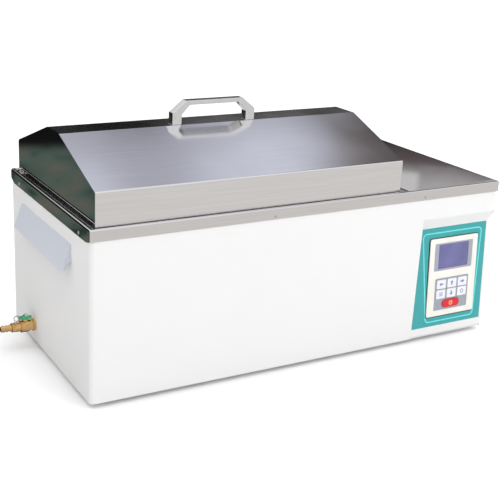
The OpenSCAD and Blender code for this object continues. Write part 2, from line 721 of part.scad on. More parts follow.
module run_key() color([0.85, 0.2, 0.25]) place() on_panel() {
    front = -label_t - bezel_t - 0.9;
    run_outline(run_w - 2 * move_gap, run_h - 2 * move_gap, front, stop_d + stop_t / 2 - front);
    run_outline(run_w + 1.6, run_h - 4, stop_d, stop_t);
    key_stem(control_x, run_s);
}

module control_board() color([0.1, 0.4, 0.2]) place() on_panel() {
    panel_plate(control_x - 50, board_d, control_s + 6, 100, 1.6, controller_h - 12, 1);
    // tact switches under the keys, and the terminal strip that shows at the case's back
    for (i = [0:5]) translate([key_x(i) - 3, board_d - 0.3, key_s(i) - 3]) cube([6, 0.3, 6]);
    translate([control_x - 3, board_d - 0.3, run_s - 3]) cube([6, 0.3, 6]);
    translate([control_x - 38, board_d + 1.6, control_s + 21]) cube([26, 22, 8]);
}

// ---------------------------------------------------------------- electrics

relay_at = [wall_x + 40, 300, pan_t];

module relay_heat_sink() color("silver") place() translate(relay_at) {
    translate([0, 0, 21.9]) cube([70, 50, 5]);
    for (i = [0:8]) translate([i * 8.5, 0, 0]) cube([2, 50, 22]);
}
module solid_state_relay() color(black) place() translate([relay_at.x + 6, relay_at.y + 3, relay_at.z + 26.9])
    difference() {
        cube([58, 44, 22]);
        for (x = [4, 44], y = [5, 29]) translate([x, y, 14]) cube([10, 10, 10]);
    }

module transformer() color([0.55, 0.5, 0.4]) place() translate([casing_l - 90, 190, pan_t]) {
    cube([60, 52, 12]);
    translate([0, 0, 12]) cube([60, 12, 26]);
    translate([0, 40, 12]) cube([60, 12, 26]);
    translate([0, 0, 38]) cube([60, 52, 12]);
    translate([12, 12.2, 12.2]) cube([36, 27.6, 25.6]);
}

module terminal_block() color([0.9, 0.9, 0.88]) place() translate([wall_x + 40, 110, pan_t]) difference() {
    cube([70, 24, 18]);
    for (i = [0:4], y = [2, 15]) translate([4 + i * 13, y, 8]) cube([9, 7, 12]);
    translate([-1, 10.5, 14]) cube([72, 3, 6]);
}

// Straight through the compartment wall's hole, then round to a short straight end
function lead(start, finish, into) = concat([start],
    curve([wall_x + 8, start.y, start.z], [90, 0, 0], finish - 14 * unit(into), into, 14), [finish]);

module heater_leads() color([0.75, 0.3, 0.2]) place() for (i = [0, 1])
    cord(lead([tank_end + 14.2, heater_y[3 * i], heater_z],
        [wall_x + 48.5 + i * 26, 115.5, 10], [0, 0, -110]), 1.6);

function panel_point(x, d, s) =
    [x, d * cos(panel_tilt) + s * sin(panel_tilt), s * cos(panel_tilt) - d * sin(panel_tilt)];
module probe_lead() color("gray") place()
    cord(lead([tank_end + 16.2, probe_y, probe_z],
        panel_point(control_x - 25, board_d + 24, control_s + 25), [0, -70, 0]), 1.4);

module mains_inlet() color(black) place() translate([inlet_at.x, casing_d, inlet_at.y]) difference() {
    union() {
        translate([-25, -sheet_t - gap, -11.5]) rotate([90, 0, 0]) mirror([0, 0, 1]) linear_extrude(3)
            round_rect(50, 23, 3);
        translate([-13.4, -24, -9.9]) cube([26.8, 24, 19.8]);
    }
    // socket for a lead's connector, with the pins' block at its back
    translate([-12.2, -15, -8.2]) cube([24.4, 30, 16.4]);
    for (x = [-20, 20]) translate([x, 5, 0]) rotate([90, 0, 0]) cylinder(r = 1.7, h = 10);
    for (p = inlet_pin_at) translate([p.x - 2.1, -30, p.y - 1.1]) cube([4.2, 20, 2.2]);
}
inlet_pin_at = [[-7, -2], [0, 2], [7, -2]];
module inlet_pins() color(brass) place() translate([inlet_at.x, casing_d, inlet_at.y])
    for (p = inlet_pin_at) translate([p.x - 2, -30, p.y - 1]) cube([4, 26.5, 2]);

// Children drawn along +z point backwards out of the rear panel at p = [x, z]
module on_back(p) place() translate([p.x, casing_d - sheet_t - gap, p.y]) rotate([-90, 0, 0]) children();

module fuse_holder() color(black) on_back(fuse_at) {
    cylinder(r = 8, h = 3);
    translate([0, 0, -30]) cylinder(r = 6, h = 30);
    difference() {
        translate([0, 0, 3]) cylinder(r = 6.2, h = 6);
        translate([-5, -0.8, 7]) cube([10, 1.6, 4]);
    }
}

module earth_stud() color(brass) on_back(earth_at) {
    translate([0, 0, -12]) cylinder(r = 2.5, h = 21);
    cylinder(r = 5, h = 4, $fn = 6);
    translate([0, 0, 4]) cylinder(r = 6, h = 4);
}

// ---------------------------------------------------------------- lid

// Right-hand face of the lid's section, from the front hem over the ridge to the rear hem
lid_path = [
    [lid_w - hem, 0], [lid_w, 0], [lid_w, lid_skirt],
    [(lid_w + ridge_w) / 2, lid_rise], [(lid_w - ridge_w) / 2, lid_rise],
    [0, lid_skirt], [0, 0], [hem, 0]
];

handle_screw_x = [for (side = [-1, 1]) handle_x + side * (handle_l - handle_foot) / 2];

module lid_shell() color(stainless) place() difference() {
    translate([0, lid_y, lid_z]) plate_x(lid_x + steel_t, lid_l - 2 * steel_t)
        folded(lid_path, steel_t, fold_r);
    for (x = handle_screw_x) translate([x, handle_y + handle_d / 2, lid_top - 5]) cylinder(r = 2.05, h = 10);
}

module lid_ends() color(stainless) place() translate([0, lid_y, lid_z])
    for (x = [lid_x, lid_x + lid_l - steel_t]) plate_x(x, steel_t)
        polygon(bent(lid_path, fold_r + steel_t, fold_r));

module lid_handle() color("silver") place() translate([handle_x, handle_y, lid_top]) difference() {
    foot = handle_foot;
    bar = 7.5;
    shoulder = 20;
    slant = 25;
    plate_y(0, handle_d) polygon([
        [-handle_l / 2, 0], [foot - handle_l / 2, 0], [foot - handle_l / 2, shoulder - 3],
        [slant + 7 - handle_l / 2, handle_h - bar], [handle_l / 2 - slant - 7, handle_h - bar],
        [handle_l / 2 - foot, shoulder - 3], [handle_l / 2 - foot, 0], [handle_l / 2, 0],
        [handle_l / 2, shoulder], [handle_l / 2 - slant, handle_h],
        [slant - handle_l / 2, handle_h], [-handle_l / 2, shoulder]
    ]);
    for (x = handle_screw_x) translate([x - handle_x, handle_d / 2, -1]) cylinder(r = 2.05, h = 9);
}

module handle_screws() color(stainless) place() for (x = handle_screw_x)
    translate([x, handle_y + handle_d / 2, lid_top - steel_t]) {
        translate([0, 0, -2]) cylinder(r = 4, h = 2);
        cylinder(r = 2, h = 8);
    }

base_pan();
feet();
foot_screws();
outer_casing();
rear_panel();
rear_panel_screws();
deck_plate();
deck_screws();
inner_tank();
tank_insulation();
compartment_wall();
control_fascia();
fascia_label();
grip_left();
grip_right();
heater_element();
heater_glands();
temperature_probe();
probe_gland();
drain_spud();
drain_spud_nut();
drain_pipe();
wall_nuts();
valve_body();
valve_seats();
hose_barb();
valve_ball();
valve_stem();
valve_lever();
lever_ring();
lever_nut();
controller_gasket();
controller_bezel();
controller_case();
display_frame();
display_window();
keypad_plate();
control_board();
key_1();
key_2();
key_3();
key_4();
key_5();
key_6();
run_key();
solid_state_relay();
relay_heat_sink();
transformer();
terminal_block();
heater_leads();
probe_lead();
mains_inlet();
inlet_pins();
fuse_holder();
earth_stud();
lid_shell();
lid_ends();
lid_handle();
handle_screws();
tank_shelf();
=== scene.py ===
"""Thermostatic water bath: detailed sheet metal, controls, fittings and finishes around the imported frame."""

import logging
import math
from dataclasses import dataclass, field
from enum import Enum
from typing import Iterable, Sequence

import bmesh
import bpy
from mathutils import Matrix, Vector, noise


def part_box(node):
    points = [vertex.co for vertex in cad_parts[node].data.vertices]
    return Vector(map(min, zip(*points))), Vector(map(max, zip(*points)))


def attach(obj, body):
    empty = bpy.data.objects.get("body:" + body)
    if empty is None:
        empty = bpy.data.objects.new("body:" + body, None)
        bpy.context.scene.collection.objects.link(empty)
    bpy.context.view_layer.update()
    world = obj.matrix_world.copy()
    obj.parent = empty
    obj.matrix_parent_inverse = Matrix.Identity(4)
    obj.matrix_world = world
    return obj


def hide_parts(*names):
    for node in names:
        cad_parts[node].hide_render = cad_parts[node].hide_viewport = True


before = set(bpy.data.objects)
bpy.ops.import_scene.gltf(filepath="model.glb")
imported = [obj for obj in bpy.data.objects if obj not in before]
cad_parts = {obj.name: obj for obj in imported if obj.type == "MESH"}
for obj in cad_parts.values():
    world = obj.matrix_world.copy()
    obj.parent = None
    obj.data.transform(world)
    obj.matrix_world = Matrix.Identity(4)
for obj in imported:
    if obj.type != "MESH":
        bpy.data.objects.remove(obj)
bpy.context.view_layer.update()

log = logging.getLogger("water_bath")

Colour = tuple[float, float, float]
Flat = tuple[float, float]
Outline = list[Flat]
Stops = Sequence[tuple[float, Colour]]
Socket = bpy.types.NodeSocket | float | Colour

HOUSING = "housing"


# ---------------------------------------------------------------- outlines


def fillet(points: Sequence[Flat], radius: float, steps: int = 6, closed: bool = True) -> Outline:
    """Round the corners of a flat path.

    Args:
        points: The path's corners, in metres.
        radius: Radius of each rounded corner.
        steps: How many segments each corner gets.
        closed: Whether the path joins up with its start.

    Returns:
        The path with an arc in place of each corner.
    """
    made: Outline = []
    count = len(points)
    for i, corner in enumerate(points):
        if not closed and i in (0, count - 1):
            made.append((corner[0], corner[1]))
            continue
        here, before, after = Vector(corner), Vector(points[i - 1]), Vector(points[(i + 1) % count])
        into, out = here - before, after - here
        turn = into.angle_signed(out)
        if abs(turn) < 1e-4:
            made.append((corner[0], corner[1]))
            continue
        reach = min(radius * math.tan(abs(turn) / 2), 0.49 * into.length, 0.49 * out.length)
        start, end = here - into.normalized() * reach, here + out.normalized() * reach
        for k in range(steps + 1):
            t = k / steps
            weight = math.cos(abs(turn) / 2)
            a, b, c = (1 - t) ** 2, 2 * t * (1 - t) * weight, t * t
            point = (start * a + here * b + end * c) / (a + b + c)
            made.append((point.x, point.y))
    return made


def offset_path(points: Sequence[Flat], distance: float) -> Outline:
    """Move an open path sideways to its left, with mitred corners.

    Args:
        points: The path's corners.
        distance: How far the path moves.

    Returns:
        The moved path, corner for corner.
    """
    made: Outline = []
    for i, corner in enumerate(points):
        sides: list[Vector] = []
        if i > 0:
            sides.append((Vector(corner) - Vector(points[i - 1])).normalized())
        if i < len(points) - 1:
            sides.append((Vector(points[i + 1]) - Vector(corner)).normalized())
        lefts = [Vector((-s.y, s.x)) for s in sides]
        mean = lefts[0] if len(lefts) == 1 else (lefts[0] + lefts[1]) / (1 + lefts[0].dot(lefts[1]))
        made.append((corner[0] + mean.x * distance, corner[1] + mean.y * distance))
    return made


def densify(points: Sequence[Flat], spacing: float) -> Outline:
    """Divide the long stretches of an open path, so that a sheet can follow a slight curve there.

    Args:
        points: The path's points.
        spacing: Longest stretch that is left.

    Returns:
        The path with points added between its own.
    """
    made: Outline = [(points[0][0], points[0][1])]
    for start, end in zip(points, points[1:]):
        parts = max(1, math.ceil(math.dist(start, end) / spacing))
        for k in range(1, parts + 1):
            made.append(
                (start[0] + (end[0] - start[0]) * k / parts, start[1] + (end[1] - start[1]) * k / parts)
            )
    return made


def rounded_rect(x0: float, y0: float, x1: float, y1: float, radius: float, steps: int = 6) -> Outline:
    """Corners-rounded rectangle as a counter-clockwise outline."""
    return fillet([(x0, y0), (x1, y0), (x1, y1), (x0, y1)], radius, steps)


def regular(centre: Flat, radius: float, sides: int, start: float = 0.0) -> Outline:
    """Regular polygon or circle round a centre.

    Args:
        centre: Its middle.
        radius: Distance from the middle to each corner.
        sides: How many corners it has.
        start: Angle of the first corner.

    Returns:
        The outline, counter-clockwise.
    """
    angles = [start + math.tau * k / sides for k in range(sides)]
    return [(centre[0] + radius * math.cos(a), centre[1] + radius * math.sin(a)) for a in angles]


# ---------------------------------------------------------------- mesh making


class Bench:
    """Turns outlines and sections into finished mesh objects."""

    @staticmethod
    def finish(bm: bmesh.types.BMesh, name: str, smooth_angle: float = 32.0) -> bpy.types.Object:
        """Turn a bmesh into a linked object with smooth faces and sharp folds.

        Args:
            bm: The geometry, which is freed.
            name: Name of the piece.
            smooth_angle: Edges that turn more than this, in degrees, stay sharp.

        Returns:
            The new object.
        """
        bmesh.ops.recalc_face_normals(bm, faces=bm.faces)
        mesh = bpy.data.meshes.new(name)
        bm.to_mesh(mesh)
        bm.free()
        mesh.shade_smooth()
        mesh.set_sharp_from_angle(angle=math.radians(smooth_angle))
        piece = bpy.data.objects.new(name, mesh)
        bpy.context.scene.collection.objects.link(piece)
        even = piece.modifiers.new("even_shading", "WEIGHTED_NORMAL")
        even.keep_sharp, even.weight = True, 90
        return piece

    @staticmethod
    def thicken(piece: bpy.types.Object, thickness: float) -> None:
        """Give an open skin its sheet thickness inwards, with crisp cut edges.

        Args:
            piece: The skin, which is changed.
            thickness: Thickness of the sheet.
        """
        step = piece.modifiers.new("sheet", "SOLIDIFY")
        step.thickness, step.offset, step.use_even_offset = thickness, -1.0, True
        piece.modifiers.move(len(piece.modifiers) - 1, 0)
        bpy.context.view_layer.update()
        made = bpy.data.meshes.new_from_object(piece.evaluated_get(bpy.context.evaluated_depsgraph_get()))
        piece.modifiers.remove(step)
        piece.data = made
        made.shade_smooth()
        made.set_sharp_from_angle(angle=math.radians(40))

    @staticmethod
    def plate(
        name: str,
        outline: Outline,
        thickness: float,
        holes: Iterable[Outline] = (),
        edge: float = 0.0,
        steps: int = 2,
    ) -> bpy.types.Object:
        """Flat plate with rounded edges, its back on z 0 and its front at +z.

        Args:
            name: Name of the piece.
            outline: Outer outline in x and y.
            thickness: Full thickness.
            holes: Outlines of the openings.
            edge: Radius of the rounding along every edge.
            steps: Segments of that rounding.

        Returns:
            The plate as a mesh object.
        """
        curve = bpy.data.curves.new(name, "CURVE")
        curve.dimensions = "2D"
        curve.fill_mode = "BOTH"
        curve.extrude = thickness / 2 - edge
        curve.bevel_depth = edge
        curve.bevel_resolution = steps
        curve.offset = -edge
        for loop in [outline, *holes]:
            spline = curve.splines.new("POLY")
            spline.points.add(len(loop) - 1)
            for point, (x, y) in zip(spline.points, loop):
                point.co = (x, y, 0.0, 1.0)
            spline.use_cyclic_u = True
        carrier = bpy.data.objects.new(name, curve)
        bpy.context.scene.collection.objects.link(carrier)
        bpy.context.view_layer.update()
        made = bpy.data.meshes.new_from_object(carrier.evaluated_get(bpy.context.evaluated_depsgraph_get()))
        bpy.data.objects.remove(carrier)
        bm = bmesh.new()
        bm.from_mesh(made)
        bpy.data.meshes.remove(made)
        bmesh.ops.remove_doubles(bm, verts=bm.verts, dist=2e-6)
        bmesh.ops.translate(bm, verts=bm.verts, vec=(0, 0, thickness / 2))
        return Bench.finish(bm, name)

    @staticmethod
    def extrusion(
        name: str, section: Outline, start: float, end: float, cuts: int = 1, edge: float = 0.0
    ) -> bpy.types.Object:
        """Closed section in y and z, carried along x.

        Args:
            name: Name of the piece.
            section: The section's outline.
            start: Where it starts along x.
            end: Where it ends along x.
            cuts: How many lengths it is divided into.
            edge: Width of the rounding round both end faces.

        Returns:
            The extruded piece.
        """
        bm = bmesh.new()
        rings = [
            [bm.verts.new((start + (end - start) * i / cuts, y, z)) for y, z in section]
            for i in range(cuts + 1)
        ]
        for near, far in zip(rings, rings[1:]):
            for k in range(len(section)):
                j = (k + 1) % len(section)
                bm.faces.new((near[k], near[j], far[j], far[k]))
        caps = [bm.faces.new(rings[0][::-1]), bm.faces.new(rings[-1])]
        if edge:
            rim = [e for cap in caps for e in cap.edges]
            bmesh.ops.bevel(
                bm, geom=rim, offset=edge, segments=3, profile=0.5, affect="EDGES", clamp_overlap=True
            )
        return Bench.finish(bm, name)

    @staticmethod
    def block(name: str, section: Outline, depth: float, edge: float) -> bpy.types.Object:
        """Solid bar: an outline in x and z, carried back along y, with every edge rounded.

        Args:
            name: Name of the piece.
            section: Outline in x and z.
            depth: How far it is carried along y.
            edge: Radius of the rounding.

        Returns:
            The bar as a mesh object.
        """
        bm = bmesh.new()
        front = bm.faces.new([bm.verts.new((x, 0.0, z)) for x, z in section])
        back = bmesh.ops.extrude_face_region(bm, geom=[front])
        moved = [v for v in back["geom"] if isinstance(v, bmesh.types.BMVert)]
        bmesh.ops.translate(bm, verts=moved, vec=(0, depth, 0))
        bmesh.ops.recalc_face_normals(bm, faces=bm.faces)
        sharp = [e for e in bm.edges if e.calc_face_angle(0.0) > math.radians(20)]
        bmesh.ops.bevel(
            bm, geom=sharp, offset=edge, segments=4, profile=0.5, affect="EDGES", clamp_overlap=True
        )
        return Bench.finish(bm, name)

    @staticmethod
    def turned(name: str, profile: Sequence[Flat], segments: int = 40) -> bpy.types.Object:
        """Turned piece about z, from a profile of radius and height.

        Args:
            name: Name of the piece.
            profile: Points of (radius, height) from one end to the other.
            segments: Segments round the turn.

        Returns:
            The turned piece.
        """
        bm = bmesh.new()
        rings = []
        for radius, height in profile:
            if radius < 1e-7:
                rings.append([bm.verts.new((0.0, 0.0, height))])
            else:
                rings.append([bm.verts.new((x, y, height)) for x, y in regular((0.0, 0.0), radius, segments)])
        for low, high in zip(rings, rings[1:]):
            for k in range(segments):
                j = (k + 1) % segments
                if len(low) == 1 and len(high) > 1:
                    bm.faces.new((low[0], high[j], high[k]))
                elif len(high) == 1 and len(low) > 1:
                    bm.faces.new((low[k], low[j], high[0]))
                elif len(low) > 1:
                    bm.faces.new((low[k], low[j], high[j], high[k]))
        for ring in (rings[0], rings[-1]):
            if len(ring) > 1:
                bm.faces.new(ring)
        return Bench.finish(bm, name)

    @staticmethod
    def tube(
        name: str, path: Sequence[Vector], radius: float, sides: int = 12, closed: bool = False
    ) -> bpy.types.Object:
        """Round bar along a path in space.

        Args:
            name: Name of the piece.
            path: Points of the centre line.
            radius: Radius of the bar.
            sides: Sides of its section.
            closed: Whether the path is a loop.

        Returns:
            The bar as a mesh object.
        """
        bm = bmesh.new()
        count = len(path)
        rings, across = [], Vector((0.31, 0.52, 0.79))
        for i in range(count):
            ahead = path[(i + 1) % count] if closed or i < count - 1 else path[i]
            behind = path[i - 1] if closed or i > 0 else path[i]
            along = (ahead - behind).normalized()
            across = (across - along * across.dot(along)).normalized()
            up = along.cross(across)
            rings.append([
                bm.verts.new(path[i] + (across * math.cos(a) + up * math.sin(a)) * radius)
                for a in (math.tau * k / sides for k in range(sides))
            ])
        pairs = list(zip(rings, rings[1:])) + ([(rings[-1], rings[0])] if closed else [])
        for near, far in pairs:
            for k in range(sides):
                j = (k + 1) % sides
                bm.faces.new((near[k], near[j], far[j], far[k]))
        if not closed:
            bm.faces.new(rings[0])
            bm.faces.new(rings[-1])
        return Bench.finish(bm, name, 50.0)

    @staticmethod
    def place(piece: bpy.types.Object, matrix: Matrix) -> bpy.types.Object:
        """Move a piece's mesh, so that the object itself stays at the origin."""
        piece.data.transform(matrix)
        piece.data.update()
        return piece

    @staticmethod
    def join(name: str, pieces: Sequence[bpy.types.Object]) -> bpy.types.Object:
        """Join several meshes into one named piece."""
        bm = bmesh.new()
        for piece in pieces:
            bm.from_mesh(piece.data)
            bpy.data.objects.remove(piece)
        return Bench.finish(bm, name)

    @staticmethod
    def cut(piece: bpy.types.Object, tool: bpy.types.Object) -> bpy.types.Object:
        """Take a tool's volume out of a piece and remove the tool.

        Args:
            piece: The piece that is cut.
            tool: The solid that is taken out of it.

        Returns:
            The piece.
        """
        step = piece.modifiers.new("cut", "BOOLEAN")
        step.operation, step.solver, step.object = "DIFFERENCE", "EXACT", tool
        bpy.context.view_layer.update()
        made = bpy.data.meshes.new_from_object(piece.evaluated_get(bpy.context.evaluated_depsgraph_get()))
        piece.modifiers.remove(step)
        piece.data = made
        bpy.data.objects.remove(tool)
        made.set_sharp_from_angle(angle=math.radians(32))
        return piece

    @staticmethod
    def soften(piece: bpy.types.Object, width: float, segments: int = 2) -> None:
        """Round the sharp folds of a carried-over solid with modifiers.

        Args:
            piece: The solid to soften.
            width: Width of the rounding.
            segments: Segments across it.
        """
        flat = piece.modifiers.new("merge_flat_faces", "DECIMATE")
        flat.decimate_type, flat.angle_limit = "DISSOLVE", math.radians(0.6)
        bevel = piece.modifiers.new("soft_edges", "BEVEL")
        bevel.width, bevel.segments = width, segments
        bevel.limit_method, bevel.angle_limit = "ANGLE", math.radians(40)
        bevel.miter_outer = "MITER_ARC"
        bevel.use_clamp_overlap = True
        bevel.harden_normals = False
        shade = piece.modifiers.new("even_shading", "WEIGHTED_NORMAL")
        shade.keep_sharp = False
        shade.weight = 80


# ---------------------------------------------------------------- finishes


class NodeSheet:
    """A node tree, with short ways to add and join its nodes."""

    def __init__(self, tree: bpy.types.NodeTree) -> None:
        """Empty the tree."""
        self.tree = tree
        self.tree.nodes.clear()

    def join(self, source: bpy.types.NodeSocket, target: bpy.types.NodeSocket) -> None:
        """Link one socket to another."""
        self.tree.links.new(source, target)

    def feed(self, value: Socket, target: bpy.types.NodeSocket) -> None:
        """Link a socket, or set a number or colour."""
        if isinstance(value, bpy.types.NodeSocket):
            self.join(value, target)
        else:
            target.default_value = (*value, 1.0) if isinstance(value, tuple) else value

    def ramp(self, source: bpy.types.NodeSocket, stops: Stops) -> bpy.types.NodeSocket:
        """Turn a value into a colour through a ramp.

        Args:
            source: The value, from 0 to 1.
            stops: The ramp's places and colours, in rising order.

        Returns:
            The colour output.
        """
        node = self.tree.nodes.new("ShaderNodeValToRGB")
        while len(node.color_ramp.elements) < len(stops):
            node.color_ramp.elements.new(0.5)
        for element, (at, colour) in zip(node.color_ramp.elements, stops):
            element.position, element.color = at, (*colour, 1.0)
        self.join(source, node.inputs["Fac"])
        return node.outputs["Color"]

    def math(self, operation: str, *values: Socket) -> bpy.types.NodeSocket:
        """Math node on sockets or numbers."""
        node = self.tree.nodes.new("ShaderNodeMath")
        node.operation = operation
        for value, target in zip(values, node.inputs):
            self.feed(value, target)
        return node.outputs[0]

    def span(self, source: Socket, low: float, high: float) -> bpy.types.NodeSocket:
        """Share of the way from one value to another, smoothly and never outside 0 to 1."""
        node = self.tree.nodes.new("ShaderNodeMapRange")
        node.interpolation_type = "SMOOTHSTEP"
        node.inputs["From Min"].default_value, node.inputs["From Max"].default_value = low, high
        self.feed(source, node.inputs["Value"])
        return node.outputs["Result"]

    def mix(self, share: Socket, low: Socket, high: Socket, blend: str = "MIX") -> bpy.types.NodeSocket:
        """Mix of two colours."""
        node = self.tree.nodes.new("ShaderNodeMix")
        node.data_type, node.blend_type = "RGBA", blend
        for value, target in zip((share, low, high), (node.inputs[0], node.inputs[6], node.inputs[7])):
            self.feed(value, target)
        return node.outputs[2]


class Graph(NodeSheet):
    """A material's nodes, round one principled shader."""

    def __init__(self, name: str) -> None:
        """Start an empty material with one principled shader."""
        self.material = bpy.data.materials.new(name)
        self.material.use_nodes = True
        super().__init__(self.material.node_tree)
        self.shader = self.tree.nodes.new("ShaderNodeBsdfPrincipled")
        output = self.tree.nodes.new("ShaderNodeOutputMaterial")
        self.join(self.shader.outputs["BSDF"], output.inputs["Surface"])

    def set(self, **values: object) -> None:
        """Set plain values on the shader's sockets, named with _ for spaces."""
        for name, value in values.items():
            self.shader.inputs[name.replace("_", " ")].default_value = value

    def noise(
        self, scale: float, stretch: Colour = (1.0, 1.0, 1.0), detail: float = 3.0, shift: float = 0.0
    ) -> bpy.types.NodeSocket:
        """Noise in the object's own coordinates.

        Args:
            scale: Noise cells per metre.
            stretch: Factor on the scale along x, y and z.
            detail: Octaves of finer noise.
            shift: Offset, so that two layers differ.

        Returns:
            The noise's value socket.
        """
        place = self.tree.nodes.new("ShaderNodeTexCoord")
        mapping = self.tree.nodes.new("ShaderNodeMapping")
        mapping.inputs["Scale"].default_value = stretch
        mapping.inputs["Location"].default_value = (shift, shift * 0.7, shift * 1.3)
        grain = self.tree.nodes.new("ShaderNodeTexNoise")
        grain.inputs["Scale"].default_value = scale
        grain.inputs["Detail"].default_value = detail
        self.join(place.outputs["Object"], mapping.inputs["Vector"])
        self.join(mapping.outputs["Vector"], grain.inputs["Vector"])
        return grain.outputs["Fac"]

    def spread(self, source: bpy.types.NodeSocket, low: float, high: float) -> bpy.types.NodeSocket:
        """Map noise, which lies mostly between 0.3 and 0.7, to a range of values."""
        node = self.tree.nodes.new("ShaderNodeMapRange")
        node.inputs["From Min"].default_value, node.inputs["From Max"].default_value = 0.3, 0.7
        node.inputs["To Min"].default_value, node.inputs["To Max"].default_value = low, high
        self.join(source, node.inputs["Value"])
        return node.outputs["Result"]

    def bump(
        self, height: bpy.types.NodeSocket, depth: float, strength: float = 1.0,
        under: bpy.types.NodeSocket | None = None
    ) -> bpy.types.NodeSocket:
        """Bump node over an optional earlier one.

        Args:
            height: The height, from 0 to 1.
            depth: What a height of 1 stands for, in metres.
            strength: Share of the bump that is used.
            under: The normal that it builds on.

        Returns:
            The normal output.
        """
        node = self.tree.nodes.new("ShaderNodeBump")
        node.inputs["Distance"].default_value = depth
        node.inputs["Strength"].default_value = strength
        self.join(height, node.inputs["Height"])
        if under is not None:
            self.join(under, node.inputs["Normal"])
        return node.outputs["Normal"]


class Grain(Enum):
    """Direction of the brush lines, as the noise's stretch along x, y and z."""

    ALONG_X = (0.02, 1.0, 1.0)
    ALONG_Y = (1.0, 0.02, 1.0)


@dataclass(frozen=True)
class Finish:
    """A finish that pieces wear: its name, the record's slot it stands for, and its base colour."""

    name: str
    slot: str
    colour: Colour

    def nodes(self, graph: Graph) -> None:
        """Fill the material's node tree; each kind of finish has its own."""
        raise NotImplementedError

    def material(self) -> bpy.types.Material:
        """The finish's material, made the first time it is asked for."""
        found = bpy.data.materials.get(self.name)
        if found is not None:
            return found
        graph = Graph(self.name)
        self.nodes(graph)
        return graph.material

    def shade(self, share: float) -> Colour:
        """The base colour, made lighter or darker by a share."""
        return tuple(min(1.0, c * share) for c in self.colour)

    def dress(self, piece: bpy.types.Object) -> bpy.types.Object:
        """Put this finish on a new piece."""
        piece.data.materials.clear()
        piece.data.materials.append(self.material())
        return piece

    def dress_node(self, node: str) -> bpy.types.Object:
        """Put this finish on a carried-over solid, through its object's own slots."""
        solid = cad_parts[node]
        for slot in solid.material_slots:
            slot.link = "OBJECT"
            slot.material = self.material()
        return solid


@dataclass(frozen=True)
class BrushedSteel(Finish):
    """Stainless sheet with fine brush lines and a faint unevenness from rolling and folding."""

    roughness: float
    grain: Grain
    lines: float = 0.00001
    waves: float = 0.0002
    tone: float = 0.03

    def nodes(self, graph: Graph) -> None:
        """Brush lines in colour, roughness and bump, over long shallow waves."""
        fine = graph.noise(2600.0, self.grain.value, 2.0)
        broad = graph.noise(420.0, self.grain.value, 3.0, 3.1)
        cloud = graph.noise(9.0, (1.0, 1.0, 1.0), 3.0, 7.7)
        graph.join(
            graph.ramp(broad, [(0.25, self.shade(1 - self.tone)), (0.75, self.shade(1 + self.tone))]),
            graph.shader.inputs["Base Color"]
        )
        graph.join(
            graph.spread(cloud, self.roughness * 0.82, self.roughness * 1.2),
            graph.shader.inputs["Roughness"]
        )
        wave = graph.bump(graph.noise(5.5, (1.0, 1.0, 1.0), 1.0, 1.9), self.waves)
        line = graph.bump(broad, self.lines * 1.5, 1.0, wave)
        graph.join(graph.bump(fine, self.lines, 1.0, line), graph.shader.inputs["Normal"])
        graph.set(Metallic=1.0)


@dataclass(frozen=True)
class PowderCoat(Finish):
    """Satin powder coat with fine orange peel and a faint change of tone."""

    roughness: float = 0.38

    def nodes(self, graph: Graph) -> None:
        """Orange peel in the bump, and soft clouds in colour and roughness."""
        peel = graph.noise(900.0, (1.0, 1.0, 1.0), 2.0)
        cloud = graph.noise(7.0, (1.0, 1.0, 1.0), 3.0, 2.3)
        graph.join(
            graph.ramp(cloud, [(0.3, self.shade(0.985)), (0.7, self.shade(1.0))]),
            graph.shader.inputs["Base Color"]
        )
        graph.join(
            graph.spread(cloud, self.roughness * 0.9, self.roughness * 1.1),
            graph.shader.inputs["Roughness"]
        )
        graph.join(graph.bump(peel, 0.00003), graph.shader.inputs["Normal"])
        graph.set(Specular_IOR_Level=0.4)


@dataclass(frozen=True)
class Moulded(Finish):
    """Moulded plastic with a fine spark-eroded texture."""

    roughness: float = 0.42
    texture: float = 0.00002

    def nodes(self, graph: Graph) -> None:
        """Texture in the bump, with a slight change of tone and gloss."""
        fine = graph.noise(2400.0, (1.0, 1.0, 1.0), 2.0)
        cloud = graph.noise(30.0, (1.0, 1.0, 1.0), 3.0, 4.2)
        graph.join(
            graph.ramp(cloud, [(0.3, self.shade(0.96)), (0.7, self.shade(1.02))]),
            graph.shader.inputs["Base Color"]
        )
        graph.join(
            graph.spread(fine, self.roughness * 0.9, self.roughness * 1.12),
            graph.shader.inputs["Roughness"]
        )
        graph.join(graph.bump(fine, self.texture), graph.shader.inputs["Normal"])


@dataclass(frozen=True)
class PrintedFilm(Finish):
    """Printed polyester film: flat ink under a lightly grained surface."""

    roughness: float = 0.35

    def nodes(self, graph: Graph) -> None:
        """Ink with the slightest mottle, and a fine matt grain."""
        mottle = graph.noise(120.0, (1.0, 1.0, 1.0), 4.0)
        grain = graph.noise(3200.0, (1.0, 1.0, 1.0), 1.0, 5.0)
        graph.join(
            graph.ramp(mottle, [(0.3, self.shade(0.97)), (0.7, self.shade(1.03))]),
            graph.shader.inputs["Base Color"]
        )
        graph.join(
            graph.spread(grain, self.roughness * 0.9, self.roughness * 1.1),
            graph.shader.inputs["Roughness"]
        )
        graph.join(graph.bump(grain, 0.000008), graph.shader.inputs["Normal"])


@dataclass(frozen=True)
class DisplayGlass(Finish):
    """Dark, glossy window over an unlit display."""

    edge: Colour

    def nodes(self, graph: Graph) -> None:
        """A display that is a little lighter in patches, under clear gloss."""
        cloud = graph.noise(26.0, (1.0, 1.0, 1.0), 2.0)
        graph.join(
            graph.ramp(cloud, [(0.35, self.edge), (0.65, self.colour)]), graph.shader.inputs["Base Color"]
        )
        rub = graph.noise(700.0, (1.0, 1.0, 1.0), 2.0, 2.0)
        graph.join(graph.spread(rub, 0.08, 0.13), graph.shader.inputs["Roughness"])
        graph.set(Coat_Weight=0.6, Coat_Roughness=0.04)


